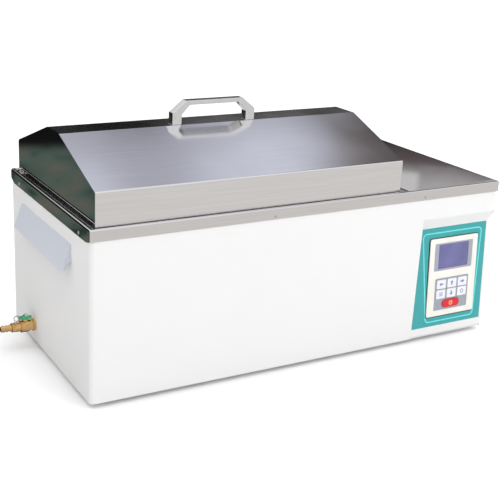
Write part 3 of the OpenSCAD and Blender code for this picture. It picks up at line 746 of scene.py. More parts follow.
@dataclass(frozen=True)
class Metal(Finish):
    """Turned, plated or cast metal with fine tool marks."""

    roughness: float = 0.25
    marks: float = 0.00001
    stain: float = 0.85

    def nodes(self, graph: Graph) -> None:
        """Slight staining in the colour, and tool marks in bump and roughness."""
        cloud = graph.noise(160.0, (1.0, 1.0, 1.0), 4.0)
        marks = graph.noise(3000.0, (0.15, 1.0, 1.0), 2.0, 1.0)
        graph.join(
            graph.ramp(cloud, [(0.3, self.shade(self.stain)), (0.65, self.colour)]),
            graph.shader.inputs["Base Color"]
        )
        graph.join(
            graph.spread(cloud, self.roughness * 1.2, self.roughness * 0.85),
            graph.shader.inputs["Roughness"]
        )
        graph.join(graph.bump(marks, self.marks), graph.shader.inputs["Normal"])
        graph.set(Metallic=1.0)


@dataclass(frozen=True)
class Rubber(Finish):
    """Matt rubber or soft lead sleeve with a bloom of lighter dust."""

    def nodes(self, graph: Graph) -> None:
        """Dusty bloom in the colour, over a fine rough bump."""
        bloom = graph.noise(220.0, (1.0, 1.0, 1.0), 5.0)
        graph.join(
            graph.ramp(bloom, [(0.35, self.colour), (0.75, self.shade(1.7))]),
            graph.shader.inputs["Base Color"]
        )
        graph.join(graph.spread(bloom, 0.6, 0.8), graph.shader.inputs["Roughness"])
        graph.join(graph.bump(bloom, 0.00005), graph.shader.inputs["Normal"])


@dataclass(frozen=True)
class Wool(Finish):
    """Fibrous insulation."""

    def nodes(self, graph: Graph) -> None:
        """Strands as stretched noise in colour and bump."""
        strands = graph.noise(300.0, (0.2, 1.0, 0.6), 6.0)
        graph.join(
            graph.ramp(strands, [(0.3, self.shade(0.6)), (0.7, self.shade(1.1))]),
            graph.shader.inputs["Base Color"]
        )
        graph.join(graph.bump(strands, 0.002), graph.shader.inputs["Normal"])
        graph.set(Roughness=0.95, Sheen_Weight=0.3)


COAT = PowderCoat("white_powder_coat", "powder_coat", (0.82, 0.814, 0.807))
GRIP_COAT = PowderCoat("grip_powder_coat", "powder_coat", (0.6, 0.625, 0.69), 0.42)
DECK_STEEL = BrushedSteel(
    "deck_stainless", "deck_steel", (0.80, 0.785, 0.775), 0.035, Grain.ALONG_X, 0.00000006, 0.00003
)
LID_STEEL = BrushedSteel(
    "lid_stainless", "lid_steel", (0.85, 0.845, 0.84), 0.13, Grain.ALONG_X, 0.0000008, 0.0001
)
END_STEEL = BrushedSteel(
    "lid_end_stainless", "lid_end_steel", (0.78, 0.79, 0.775), 0.045, Grain.ALONG_Y, 0.0000001, 0.0002, 0.02
)
TANK_STEEL = BrushedSteel(
    "tank_stainless", "tank_steel", (0.78, 0.78, 0.77), 0.12, Grain.ALONG_X, 0.0000004, 0.00005
)
HANDLE_PLATE = Metal("handle_plate", "handle_chrome", (0.86, 0.86, 0.87), 0.16, 0.000006, 0.94)
SCREW_PLATE = Metal("screw_plate", "screw_steel", (0.78, 0.78, 0.78), 0.22)
BRASS = Metal("machined_brass", "brass", (0.82, 0.52, 0.22), 0.24, 0.00001, 0.8)
COPPER = Metal("drawn_copper", "copper", (0.78, 0.42, 0.28), 0.3)
DARK_WIRE = Metal("dark_wire", "dark_wire", (0.07, 0.07, 0.07), 0.4)
ZINC = Metal("zinc_plate", "zinc_sheet", (0.62, 0.63, 0.64), 0.45)
SHEATH = Metal("heater_sheath", "heater_sheath", (0.32, 0.29, 0.27), 0.45, 0.00002, 0.7)
HEAT_SINK = Metal("extruded_aluminium", "heat_sink", (0.72, 0.72, 0.73), 0.38)
IRON = Metal("varnished_iron", "transformer_iron", (0.22, 0.2, 0.17), 0.5)
PIN = Metal("plated_pin", "pin_metal", (0.75, 0.66, 0.48), 0.25)
BLACK_RUBBER = Rubber("black_rubber", "black_rubber", (0.02, 0.02, 0.021))
RED_LEAD = Rubber("red_lead", "lead_red", (0.42, 0.06, 0.04))
GREY_LEAD = Rubber("grey_lead", "lead_grey", (0.16, 0.16, 0.17))
GLASS_WOOL = Wool("glass_wool", "glass_wool", (0.83, 0.72, 0.36))
CREAM = Moulded("cream_moulding", "cream_plastic", (0.86, 0.83, 0.77), 0.4)
DARK_PLASTIC = Moulded("dark_moulding", "dark_plastic", (0.025, 0.025, 0.028), 0.4)
GREY_PLASTIC = Moulded("grey_moulding", "grey_plastic", (0.36, 0.37, 0.45), 0.38)
GREEN_PLASTIC = Moulded("green_moulding", "green_plastic", (0.05, 0.42, 0.17), 0.3)
KEY_WHITE = Moulded("white_key", "key_white", (0.82, 0.82, 0.88), 0.35)
KEY_RED = Moulded("red_key", "key_red", (0.68, 0.02, 0.035), 0.25)
BOARD = Moulded("circuit_board", "circuit_board", (0.02, 0.16, 0.06), 0.35)
TERMINAL = Moulded("terminal_moulding", "terminal_plastic", (0.72, 0.72, 0.68), 0.4)
SEAT = Moulded("valve_seat", "seat_plastic", (0.86, 0.86, 0.83), 0.45)
TEAL_FILM = PrintedFilm("teal_print", "teal_film", (0.04, 0.36, 0.37))
CYAN_INK = PrintedFilm("cyan_print", "teal_film", (0.16, 0.75, 0.74))
KEYPAD_FILM = PrintedFilm("keypad_print", "keypad_film", (0.33, 0.36, 0.41), 0.4)
ICON_INK = PrintedFilm("icon_print", "keypad_film", (0.22, 0.24, 0.36), 0.4)
ORANGE_INK = PrintedFilm("orange_print", "key_red", (0.95, 0.36, 0.14), 0.35)
DISPLAY = DisplayGlass("display_window", "display_glass", (0.155, 0.15, 0.36), (0.12, 0.118, 0.28))


# ---------------------------------------------------------------- lid


@dataclass
class GabledLid:
    """The lift-off lid: a folded stainless shell, its two end plates, the handle and its screws."""

    skirt: float = 0.059
    ridge: float = 0.056
    sheet: float = 0.001
    fold: float = 0.004
    hem: float = 0.008
    sag: float = 0.00015
    crown: float = 0.00008
    handle_edge: float = 0.0014
    low: Vector = field(default_factory=lambda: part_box("lid_ends")[0])
    high: Vector = field(default_factory=lambda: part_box("lid_ends")[1])

    def path(self) -> Outline:
        """Outer face of the lid's section in y and z, from the front hem over the ridge to the rear hem."""
        y0, y1, z0, z1 = self.low.y, self.high.y, self.low.z, self.high.z
        mid, eave = (y0 + y1) / 2, z0 + self.skirt
        return [
            (y1 - self.hem, z0), (y1, z0), (y1, eave), (mid + self.ridge / 2, z1),
            (mid - self.ridge / 2, z1), (y0, eave), (y0, z0), (y0 + self.hem, z0),
        ]

    def waver(self, piece: bpy.types.Object) -> None:
        """Give the flat sheet a slight crown on its slopes and the unevenness of folded stainless.

        Args:
            piece: The sheet to move.
        """
        middle, half = (self.low.y + self.high.y) / 2, (self.high.y - self.low.y) / 2
        eave = self.low.z + self.skirt
        slope = Vector((0.0, self.high.z - eave, half - self.ridge / 2)).normalized()
        for vertex in piece.data.vertices:
            at = vertex.co
            inner = max(0.0, min(1.0, (at.x - self.low.x) / 0.05, (self.high.x - at.x) / 0.05))
            share = (abs(at.y - middle) - self.ridge / 2) / (half - self.ridge / 2)
            if at.z > eave + 0.001 and 0 < share < 1:
                lift = self.crown * 4 * share * (1 - share) - self.sag * (1 + noise.noise(at * 9.0))
                vertex.co = at + Vector((0.0, math.copysign(slope.y, at.y - middle), slope.z)) * lift * inner
            elif self.low.z + 0.004 < at.z < eave:
                vertex.co = at - Vector((0.0, math.copysign(1.0, at.y - middle), 0.0)) * self.sag * inner * (
                    1 + noise.noise(at * 11.0)
                )
        piece.data.update()

    def build(self) -> None:
        """Fold the shell, close its ends, and add the handle and its screws."""
        self.shell()
        self.ends()
        self.handle()
        self.screws()

    def shell(self) -> None:
        """Folded shell with rounded bends, in many lengths so that the sheet can waver."""
        outer = densify(fillet(self.path(), self.fold, 6, closed=False), 0.016)
        inner = densify(
            fillet(offset_path(self.path(), self.sheet), self.fold - self.sheet, 6, closed=False), 0.016
        )
        shell = Bench.extrusion(
            "lid_sheet", outer + inner[::-1], self.low.x + self.sheet, self.high.x - self.sheet, 64
        )
        self.waver(shell)
        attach(LID_STEEL.dress(shell), "lid")
        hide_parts("lid_shell")

    def ends(self) -> None:
        """End plates with rounded edges and a ground weld along each slope."""
        section = fillet(self.path()[1:7], self.fold, 6)
        plates = [
            Bench.extrusion("lid_end", section, start, start + self.sheet, 1, self.sheet * 0.42)
            for start in (self.low.x, self.high.x - self.sheet)
        ]
        ends = Bench.join("lid_end_plates", plates)
        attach(END_STEEL.dress(ends), "lid")
        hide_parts("lid_ends")
        welds = []
        corners = [self.path()[i] for i in (6, 5, 4, 3, 2, 1)]
        line = fillet([(y, z) for y, z in corners], self.fold, 5, closed=False)
        for x in (self.low.x + self.sheet * 1.5, self.high.x - self.sheet * 1.5):
            centre_y, centre_z = (self.low.y + self.high.y) / 2, self.low.z + 0.03
            inside = [
                Vector((x, y + (0.0018 if y < centre_y else -0.0018), z - (0.0018 if z > centre_z else 0.0)))
                for y, z in line
            ]
            welds.append(Bench.tube("weld", inside, 0.0011, 6))
        bead = Bench.join("lid_weld_beads", welds)
        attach(TANK_STEEL.dress(bead), "lid")

    def handle(self) -> None:
        """Bridge handle: a bar with sloped shoulders on two upright feet, all its edges rounded."""
        low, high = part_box("lid_handle")
        half, tall, deep = (high.x - low.x) / 2, high.z - low.z, high.y - low.y
        foot, bar, shoulder, slant = 0.0175, 0.0075, 0.020, 0.025
        right = [
            (half - foot, 0.0), (half, 0.0), (half, shoulder), (half - slant, tall),
        ]
        inner_right = [(half - foot, shoulder - 0.003), (half - slant - 0.007, tall - bar)]
        outline = (
            right + [(-x, z) for x, z in right[::-1]]
            + [(-x, z) for x, z in inner_right] + inner_right[::-1]
        )
        bar_piece = Bench.block("lid_handle_bar", outline, deep, self.handle_edge)
        centre = Matrix.Translation(((low.x + high.x) / 2, low.y, low.z))
        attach(HANDLE_PLATE.dress(Bench.place(bar_piece, centre)), "lid")
        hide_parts("lid_handle")

    def screws(self) -> None:
        """The handle's screws, whose heads show under the ridge."""
        Bench.soften(SCREW_PLATE.dress_node("handle_screws"), 0.0004)


# ---------------------------------------------------------------- deck


@dataclass
class DeckPlate:
    """Stainless deck: folded flanges all round, and a turned-down edge round the lid well."""

    sheet: float = 0.001
    bend: float = 0.0034
    lip_bend: float = 0.0016
    corner: float = 0.0042
    strip: float = 0.0055
    well_length: float = 0.5915
    front_flange: float = 0.019
    rear_flange: float = 0.0155
    front_slope: float = 0.0172
    rear_slope: float = 0.0212
    inner_place: float = 0.06
    low: Vector = field(default_factory=lambda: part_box("deck_plate")[0])
    high: Vector = field(default_factory=lambda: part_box("deck_plate")[1])

    def flange_bottom(self, x: float, y: float) -> float:
        """Height of the flange's lower edge at a point of the deck's outline.

        Args:
            x: Place along the deck.
            y: Place across the deck.

        Returns:
            The height in metres: lower on the end flanges, which slope up at their corners.
        """
        front, rear, end = self.high.z - self.front_flange, self.high.z - self.rear_flange, self.low.z
        on_end = min(x - self.low.x, self.high.x - x) < 1e-5
        if not on_end:
            return front if y < 0 else rear
        ahead, behind = (y - self.low.y) / self.front_slope, (self.high.y - y) / self.rear_slope
        share = min(1.0, ahead, behind)
        corner = front if ahead < behind else rear
        return corner + (end - corner) * share

    def ring(self, inset: float) -> Outline:
        """The deck's outline, moved in by an inset, with points where the flanges change.

        Args:
            inset: How far the outline moves inwards.

        Returns:
            The outline, with the same number of points whatever the inset.
        """
        x0, x1, y0, y1 = self.low.x + inset, self.high.x - inset, self.low.y + inset, self.high.y - inset
        radius, steps = self.corner - inset * 0.9, 5
        made: Outline = []
        sides = [
            ((x1 - radius, y0 + radius), -90, [(x1, y) for y in self.side_points()]),
            ((x1 - radius, y1 - radius), 0, [(x, y1) for x in self.long_points()[::-1]]),
            ((x0 + radius, y1 - radius), 90, [(x0, y) for y in self.side_points()[::-1]]),
            ((x0 + radius, y0 + radius), 180, [(x, y0) for x in self.long_points()]),
        ]
        for centre, start, side in sides:
            for k in range(steps + 1):
                angle = math.radians(start + 90 * k / steps)
                made.append((centre[0] + radius * math.cos(angle), centre[1] + radius * math.sin(angle)))
            made += side
        return made

    def side_points(self) -> list[float]:
        """Places across an end flange where its lower edge turns."""
        return [
            self.low.y + self.front_slope, -self.inner_place, self.inner_place, self.high.y - self.rear_slope,
        ]

    def long_points(self) -> list[float]:
        """Places along a long flange that keep its faces short."""
        return [self.low.x + 0.02 + (self.high.x - self.low.x - 0.04) * k / 12 for k in range(13)]

    def well(self, grow: float) -> Outline:
        """Outline of the lid well, grown by a distance."""
        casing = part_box("outer_casing")[0]
        x0, y0 = casing.x + self.strip, casing.y + self.strip
        width = (self.high.y - self.low.y) - 2 * (casing.y - self.low.y) - 2 * self.strip
        return rounded_rect(
            x0 - grow, y0 - grow, x0 + self.well_length + grow, y0 + width + grow, 0.0012 + grow, 4
        )

    def build(self) -> None:
        """Fold the deck from one sheet: its flanges, the edge of the well, and the flat between."""
        bm = bmesh.new()
        top = self.high.z

        def loop(points: Outline, heights: Sequence[float]) -> list[bmesh.types.BMVert]:
            """Add one ring of points at the given heights."""
            return [bm.verts.new((x, y, z)) for (x, y), z in zip(points, heights)]

        def skin(rings: Sequence[list[bmesh.types.BMVert]]) -> None:
            """Join rings with faces."""
            for near, far in zip(rings, rings[1:]):
                for k in range(len(near)):
                    j = (k + 1) % len(near)
                    bm.faces.new((near[k], near[j], far[j], far[k]))

        outline = self.ring(0.0)
        rings = [loop(outline, [self.flange_bottom(x, y) for x, y in outline])]
        for k in range(6):
            angle = math.radians(90 * k / 5)
            inset, z = self.bend * (1 - math.cos(angle)), top - self.bend * (1 - math.sin(angle))
            rings.append(loop(self.ring(inset), [z] * len(outline)))
        skin(rings)
        lips = []
        for k in range(5):
            angle = math.radians(90 * k / 4)
            grow, z = self.lip_bend * (1 - math.sin(angle)), top - self.lip_bend * (1 - math.cos(angle))
            hole = self.well(grow)
            lips.append(loop(hole, [z] * len(hole)))
        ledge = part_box("inner_tank")[1].z
        hole = self.well(0.0)
        lips.append(loop(hole, [ledge + 0.0001] * len(hole)))
        skin(lips)
        flat_edges = [
            bm.edges.get((ring[k], ring[(k + 1) % len(ring)]))
            for ring in (rings[-1], lips[0]) for k in range(len(ring))
        ]
        bmesh.ops.triangle_fill(bm, use_beauty=True, use_dissolve=False, edges=flat_edges)
        deck = Bench.finish(bm, "deck_sheet", 50.0)
        self.face_up(deck)
        Bench.thicken(deck, self.sheet * 0.98)
        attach(DECK_STEEL.dress(deck), HOUSING)
        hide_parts("deck_plate")

    def face_up(self, deck: bpy.types.Object) -> None:
        """Turn the open sheet's faces outwards, so that its thickness goes inwards."""
        up = sum(p.normal.z * p.area for p in deck.data.polygons)
        if up < 0:
            deck.data.flip_normals()


# ---------------------------------------------------------------- screws


@dataclass
class ScrewSet:
    """Cross-recessed pan-head screws, placed where one node's solids are and joined as one piece."""

    node: str
    head_radius: float
    head_height: float
    shank_radius: float
    finish: Finish = SCREW_PLATE

    def screw(self, length: float) -> bpy.types.Object:
        """One screw with its domed head on z 0 and its shank below it.

        Args:
            length: Length of the shank.

        Returns:
            The screw as a mesh object.
        """
        profile = [(0.0, 0.0), (self.head_radius, 0.0), (self.head_radius, self.head_height * 0.25)]
        for k in range(1, 7):
            angle = math.radians(90 * k / 6)
            across = self.head_radius * (1 - 0.6 * (1 - math.cos(angle)))
            profile.append((across, self.head_height * (0.25 + 0.75 * math.sin(angle))))
        head = Bench.turned("head", profile + [(0.0, self.head_height)], 32)
        arm, slim = self.head_radius * 0.5, self.head_radius * 0.13
        cross = [
            (arm, -slim), (arm, slim), (slim, slim), (slim, arm), (-slim, arm), (-slim, slim),
            (-arm, slim), (-arm, -slim), (-slim, -slim), (-slim, -arm), (slim, -arm), (slim, -slim),
        ]
        tool = Bench.place(
            Bench.plate("recess", cross, self.head_height),
            Matrix.Translation((0, 0, self.head_height * 0.4))
        )
        tip = self.shank_radius * 0.6
        shank = Bench.turned("shank", [
            (0.0, 0.0), (self.shank_radius, 0.0), (self.shank_radius, tip - length), (tip, -length),
            (0.0, -length),
        ], 24)
        return Bench.join("screw", [Bench.cut(head, tool), shank])

    def islands(self) -> list[tuple[Vector, Vector]]:
        """Lowest and highest corner of each separate solid of the node."""
        bm = bmesh.new()
        bm.from_mesh(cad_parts[self.node].data)
        bmesh.ops.remove_doubles(bm, verts=bm.verts, dist=1e-6)
        waiting = set(bm.verts)
        boxes: list[tuple[Vector, Vector]] = []
        while waiting:
            stack, members = [waiting.pop()], []
            while stack:
                vertex = stack.pop()
                members.append(vertex.co.copy())
                others = {edge.other_vert(vertex) for edge in vertex.link_edges} & waiting
                waiting -= others
                stack.extend(others)
            low = Vector(tuple(min(p[i] for p in members) for i in range(3)))
            high = Vector(tuple(max(p[i] for p in members) for i in range(3)))
            boxes.append((low, high))
        bm.free()
        return sorted(boxes, key=lambda box: (round(box[0].x, 4), round(box[0].y, 4), round(box[0].z, 4)))

    def facing(self, low: Vector, high: Vector) -> Vector:
        """The way that a screw's head faces: out of the casing's nearest side."""
        size, centre = high - low, (low + high) / 2
        if size.x < min(size.y, size.z) - 1e-5:
            return Vector((math.copysign(1.0, centre.x), 0.0, 0.0))
        return Vector((0.0, math.copysign(1.0, centre.y), 0.0))

    def build(self) -> None:
        """Copy the screw to each place."""
        copies = []
        for i, (low, high) in enumerate(self.islands()):
            facing = self.facing(low, high)
            along = abs((high - low).dot(facing))
            centre, reach = (low + high) / 2, facing * (along / 2 - self.head_height)
            turn = facing.to_track_quat("Z", "Y").to_matrix().to_4x4()
            screw = self.screw(along - self.head_height)
            copies.append(
                Bench.place(
                    screw,
                    Matrix.Translation(centre + reach) @ turn @ Matrix.Rotation(0.4 + 1.1 * i, 4, "Z")
                )
            )
        joined = Bench.join(self.node + "_set", copies)
        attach(self.finish.dress(joined), HOUSING)
        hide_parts(self.node)
        log.info("%s: %d screws", self.node, len(copies))


# ---------------------------------------------------------------- casing


@dataclass
class Casing:
    """Coated wrap-round casing, base pan, rear panel, grips and feet."""

    edge: float = 0.0007

    def build(self) -> None:
        """Dress and soften the sheet parts, grips and feet, and build the screws."""
        for node in ("outer_casing", "rear_panel", "base_pan"):
            Bench.soften(COAT.dress_node(node), self.edge)
        for node in ("grip_left", "grip_right"):
            Bench.soften(GRIP_COAT.dress_node(node), 0.0009, 3)
        Bench.soften(COAT.dress_node("control_fascia"), 0.0005)
        Bench.soften(ZINC.dress_node("compartment_wall"), 0.0004)
        Bench.soften(BLACK_RUBBER.dress_node("feet"), 0.0008, 3)
        Bench.soften(SCREW_PLATE.dress_node("foot_screws"), 0.0003)
        ScrewSet("deck_screws", 0.003, 0.0011, 0.0015).build()
        ScrewSet("rear_panel_screws", 0.0032, 0.0016, 0.0015).build()


# ---------------------------------------------------------------- control panel


@dataclass
class SlopedPanel:
    """The sloping control panel's own coordinates: x along it, y up its slope, and z out of it."""

    slope_rise: float = 0.210
    slope_run: float = 0.0145
    film: float = 0.0005

    def matrix(self) -> Matrix:
        """Matrix from the panel's coordinates to the part's frame."""
        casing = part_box("outer_casing")
        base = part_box("base_pan")[0].z
        tilt = math.atan2(self.slope_run, self.slope_rise)
        up = Vector((0.0, math.sin(tilt), math.cos(tilt)))
        out = Vector((0.0, -math.cos(tilt), math.sin(tilt)))
        made = Matrix.Identity(4)
        for column, axis in enumerate((Vector((1, 0, 0)), up, out)):
            for row in range(3):
                made[row][column] = axis[row]
        made.translation = Vector((casing[0].x, casing[0].y, base))
        return made

    def lay(self, piece: bpy.types.Object, at: float) -> bpy.types.Object:
        """Lay a piece on the panel with its back a height above the panel's face."""
        return Bench.place(piece, self.matrix() @ Matrix.Translation((0, 0, at)))


class Icon(Enum):
    """What a key shows: plain arrows and marks."""

    LEFT = "left"
    UP = "up"
    RIGHT = "right"
    BARS = "bars"
    DOWN = "down"
    RING = "ring"


@dataclass
class ControlPanel:
    """Printed film, controller front, display, keypad and keys on the sloping panel."""

    panel: SlopedPanel = field(default_factory=SlopedPanel)
    centre_x: float = 0.720
    width: float = 0.112
    height: float = 0.150
    base: float = 0.037
    bezel: float = 0.0022
    window: Flat = (0.089, 0.052)
    display: Flat = (0.070, 0.046)
    keypad: Flat = (0.079, 0.062)
    key: Flat = (0.0209, 0.0168)
    pitch: Flat = (0.025, 0.0193)
    run: Flat = (0.0404, 0.0154)
    margin_top: float = 0.010
    margin_bottom: float = 0.011
    display_margin: float = 0.0034
    film_low: Flat = (0.633, 0.018)
    film_high: Flat = (0.7958, 0.208)
    line: float = 0.0024
    line_centre: Flat = (0.7195, 0.11)
    line_corners: tuple[Flat, ...] = ((0.6632, 0.0255), (0.779, 0.0255), (0.7862, 0.199), (0.6455, 0.199))
    ink: float = 0.0001
    bar: Flat = (0.0084, 0.0012)
    bar_pitch: float = 0.0028

    def build(self) -> None:
        """Build every layer from the film outwards."""
        self.label()
        self.front()
        self.screen()
        self.keys()
        self.behind()

    def centred(
        self, size: Flat, base: float, radius: float, grow: float = 0.0, x: float | None = None
    ) -> Outline:
        """Rounded rectangle centred on the controller, or on another x.

        Args:
            size: Width and height before it grows.
            base: Height of its lower edge.
            radius: Corner radius before it grows.
            grow: How far every side moves outwards.
            x: Its centre line, where that isn't the controller's.

        Returns:
            The outline.
        """
        middle = self.centre_x if x is None else x
        half = size[0] / 2 + grow
        return rounded_rect(middle - half, base - grow, middle + half, base + size[1] + grow, radius + grow)

    def window_base(self) -> float:
        """Height of the display opening's lower edge up the slope."""
        return self.base + self.height - self.margin_top - self.window[1]

    def keypad_base(self) -> float:
        """Height of the keypad opening's lower edge up the slope."""
        return self.base + self.margin_bottom

    def label(self) -> None:
        """Teal film, its thin lighter line along a rounded trapezoid, and the controller's gasket."""
        outline = rounded_rect(*self.film_low, *self.film_high, 0.0012)
        opening = self.centred((self.width, self.height), self.base, 0.002, 0.0015)
        film = Bench.plate("panel_film", outline, self.panel.film * 0.9, [opening])
        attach(TEAL_FILM.dress(self.panel.lay(film, 0.0)), HOUSING)
        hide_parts("fascia_label")
        middle = self.line_centre
        inner = [
            (x + math.copysign(self.line, middle[0] - x), y + math.copysign(self.line, middle[1] - y))
            for x, y in self.line_corners
        ]
        outer = fillet(self.line_corners, 0.009, 8)
        ring = Bench.plate("panel_film_line", outer, self.ink * 1.2, [fillet(inner, 0.0068, 8)])
        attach(CYAN_INK.dress(self.panel.lay(ring, self.panel.film * 0.9)), HOUSING)
        gasket = Bench.plate(
            "controller_seal", self.centred((self.width, self.height), self.base, 0.002, 0.0013),
            self.panel.film * 1.3,
            [self.centred((self.width, self.height), self.base, 0.001, -0.0024)], 0.0002,
        )
        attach(BLACK_RUBBER.dress(self.panel.lay(gasket, 0.0)), HOUSING)
        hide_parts("controller_gasket")

    def front(self) -> None:
        """Moulded bezel with rounded edges round its two openings, and the keypad's plate."""
        openings = [
            self.centred(self.window, self.window_base(), 0.002),
            self.centred(self.keypad, self.keypad_base(), 0.002),
        ]
        bezel = Bench.plate(
            "controller_front", self.centred((self.width, self.height), self.base, 0.0034), self.bezel,
            openings, 0.0008, 3,
        )
        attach(CREAM.dress(self.panel.lay(bezel, self.panel.film)), HOUSING)
        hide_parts("controller_bezel")
        holes = [
            self.centred(self.key, self.key_at(i)[1] - self.key[1] / 2, 0.0017, 0.0003, self.key_at(i)[0])
            for i in range(6)
        ]
        holes.append(
            self.centred(self.run, self.run_at() - self.run[1] / 2, self.run[1] / 2 - 0.0001, 0.0003)
        )
        plate = Bench.plate(
            "keypad_face", self.centred(self.keypad, self.keypad_base(), 0.0018, -0.0002),
            self.bezel - 0.0005, holes, 0.0003,
        )
        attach(KEYPAD_FILM.dress(self.panel.lay(plate, self.panel.film)), HOUSING)
        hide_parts("keypad_plate")

    def screen(self) -> None:
        """Display frame with rounded edges, and its window."""
        display_base = self.window_base() + self.display_margin
        opening = self.centred(self.display, display_base, 0.0008)
        surround = Bench.plate(
            "display_surround", self.centred(self.window, self.window_base(), 0.0018, -0.0002),
            self.bezel - 0.0004, [opening], 0.0005,
        )
        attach(GREY_PLASTIC.dress(self.panel.lay(surround, self.panel.film)), HOUSING)
        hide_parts("display_frame")
        glass = self.centred(self.display, display_base, 0.0007, -0.0001)
        pane = Bench.plate("display_pane", glass, 0.003, (), 0.0003)
        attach(DISPLAY.dress(self.panel.lay(pane, -0.0017)), HOUSING)
        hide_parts("display_window")

    def key_at(self, index: int) -> Flat:
        """Middle of a key on the panel, counted from the left of the top row."""
        top = self.keypad_base() + self.keypad[1] - 0.003 - 0.0087
        return self.centre_x + (index % 3 - 1) * self.pitch[0], top - (index // 3) * self.pitch[1]

    def run_at(self) -> float:
        """Height of the oval key's middle up the slope."""
        return self.keypad_base() + 0.0035 + 0.008

    def keys(self) -> None:
        """Caps with rounded edges and a printed mark on each, riding on their own bodies."""
        cap_top = self.panel.film + self.bezel + 0.0006
        for index, icon in enumerate(Icon):
            body = f"key_{index + 1}"
            Bench.soften(KEY_WHITE.dress_node(body), 0.0006, 3)
            mark = self.mark(icon, self.key_at(index), f"key_mark_{index + 1}")
            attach(ICON_INK.dress(self.panel.lay(mark, cap_top - 0.00002)), body)
        Bench.soften(KEY_RED.dress_node("run_key"), 0.0007, 3)
        x, y = self.centre_x, self.run_at()
        rim, eye = regular((x, y), 0.0046, 40), regular((x, y), 0.0019, 24)
        disc = Bench.plate("run_key_mark", rim, self.ink, [eye])
        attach(ORANGE_INK.dress(self.panel.lay(disc, cap_top + 0.00028)), "run_key")

    def mark(self, icon: Icon, at: Flat, name: str) -> bpy.types.Object:
        """The thin printed mark of one key.

        Args:
            icon: Which mark.
            at: Middle of the key on the panel.
            name: Name of the piece.

        Returns:
            The mark as a thin plate in the panel's coordinates.
        """
        if icon is Icon.BARS:
            half, thick = self.bar[0] / 2, self.bar[1] / 2
            middles = [at[1] + step * self.bar_pitch for step in (-1, 0, 1)]
            outlines = [
                rounded_rect(at[0] - half, y - thick, at[0] + half, y + thick, thick / 2) for y in middles
            ]
            return Bench.join(name, [Bench.plate("bar", outline, self.ink) for outline in outlines])
        if icon is Icon.RING:
            return Bench.plate(name, regular(at, 0.0040, 36), self.ink, [regular(at, 0.0026, 28)])
        turn = {Icon.RIGHT: 0.0, Icon.UP: 90.0, Icon.LEFT: 180.0, Icon.DOWN: 270.0}[icon]
        arrow = [
            (0.0048, 0.0), (0.0006, 0.0040), (0.0006, 0.0014), (-0.0044, 0.0014),
            (-0.0044, -0.0014), (0.0006, -0.0014), (0.0006, -0.0040),
        ]
        cos, sin = math.cos(math.radians(turn)), math.sin(math.radians(turn))
        outline = [(at[0] + x * cos - y * sin, at[1] + x * sin + y * cos) for x, y in arrow]
        return Bench.plate(name, outline, self.ink)

    def behind(self) -> None:
        """Finishes of the controller's case and board, inside the compartment."""
        Bench.soften(DARK_PLASTIC.dress_node("controller_case"), 0.0006)
        BOARD.dress_node("control_board")


# ---------------------------------------------------------------- drain valve


@dataclass
class DrainValve:
    """Ball valve at the left end: brass body and barb, green lever, split ring and nut."""

    def build(self) -> None:
        """Dress the turned parts and build the lever."""
        for node in ("valve_body", "hose_barb", "wall_nuts", "drain_spud", "drain_spud_nut"):
            Bench.soften(BRASS.dress_node(node), 0.0003)
        SEAT.dress_node("valve_seats")
        SCREW_PLATE.dress_node("valve_ball")
        SCREW_PLATE.dress_node("valve_stem")
        Bench.soften(SCREW_PLATE.dress_node("lever_nut"), 0.0003)
        DARK_WIRE.dress_node("lever_ring")
        COPPER.dress_node("drain_pipe")
        self.lever()

    def lever(self) -> None:
        """Butterfly lever: two rounded wings, a thick collar, and the ring's hole."""
        low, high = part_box("valve_lever")
        centre = (low + high) / 2
        half, hub, wing, thick = (high.x - low.x) / 2, (high.y - low.y) / 2, 0.004, 0.0046
        waist = 0.0031
        side = [(half - wing, wing), (hub * 0.9, waist), (hub * 0.62, hub * 0.78), (0.0, hub)]
        outline = [(half, 0.0)] + side + [(-x, y) for x, y in side[-2::-1]] + [(-half, 0.0)]
        outline += [(-x, -y) for x, y in side] + [(x, -y) for x, y in side[-2::-1]]
        base = Bench.plate(
            "lever", fillet(outline, 0.0032, 6), thick,
            [regular((0.0, 0.0), 0.0021, 24), regular((-half + 0.003, 0.0), 0.0014, 16)], 0.0009, 3,
        )
        collar = Bench.plate(
            "collar", regular((0.0, 0.0), 0.0062, 36), high.z - low.z, [regular((0.0, 0.0), 0.00215, 24)],
            0.0005, 2
        )
        lever = Bench.join("valve_lever_moulding", [base, collar])
        Bench.place(lever, Matrix.Translation((centre.x, centre.y, low.z)))
        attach(GREEN_PLASTIC.dress(lever), "valve_handle")
        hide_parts("valve_lever")


# ---------------------------------------------------------------- inside and back


@dataclass
class TankFittings:
    """The tank, its shelf, heater and probe."""

    def build(self) -> None:
        """Dress the wet parts."""
        TANK_STEEL.dress_node("inner_tank")
        TANK_STEEL.dress_node("tank_shelf")
        SHEATH.dress_node("heater_element")
        TANK_STEEL.dress_node("temperature_probe")
        for node in ("heater_glands", "probe_gland"):
            Bench.soften(BRASS.dress_node(node), 0.0004)
        GLASS_WOOL.dress_node("tank_insulation")


@dataclass
class Electrics:
    """Parts in the electrical compartment, and the fittings on the rear panel."""

    def build(self) -> None:
        """Dress the electrical parts and soften their moulded edges."""
        finishes: dict[str, Finish] = {
            "solid_state_relay": DARK_PLASTIC, "relay_heat_sink": HEAT_SINK, "transformer": IRON,
            "terminal_block": TERMINAL, "mains_inlet": DARK_PLASTIC, "inlet_pins": PIN,
            "fuse_holder": DARK_PLASTIC, "earth_stud": BRASS,
        }
        for node, finish in finishes.items():
            Bench.soften(finish.dress_node(node), 0.0005)
        RED_LEAD.dress_node("heater_leads")
        GREY_LEAD.dress_node("probe_lead")


# ---------------------------------------------------------------- studio


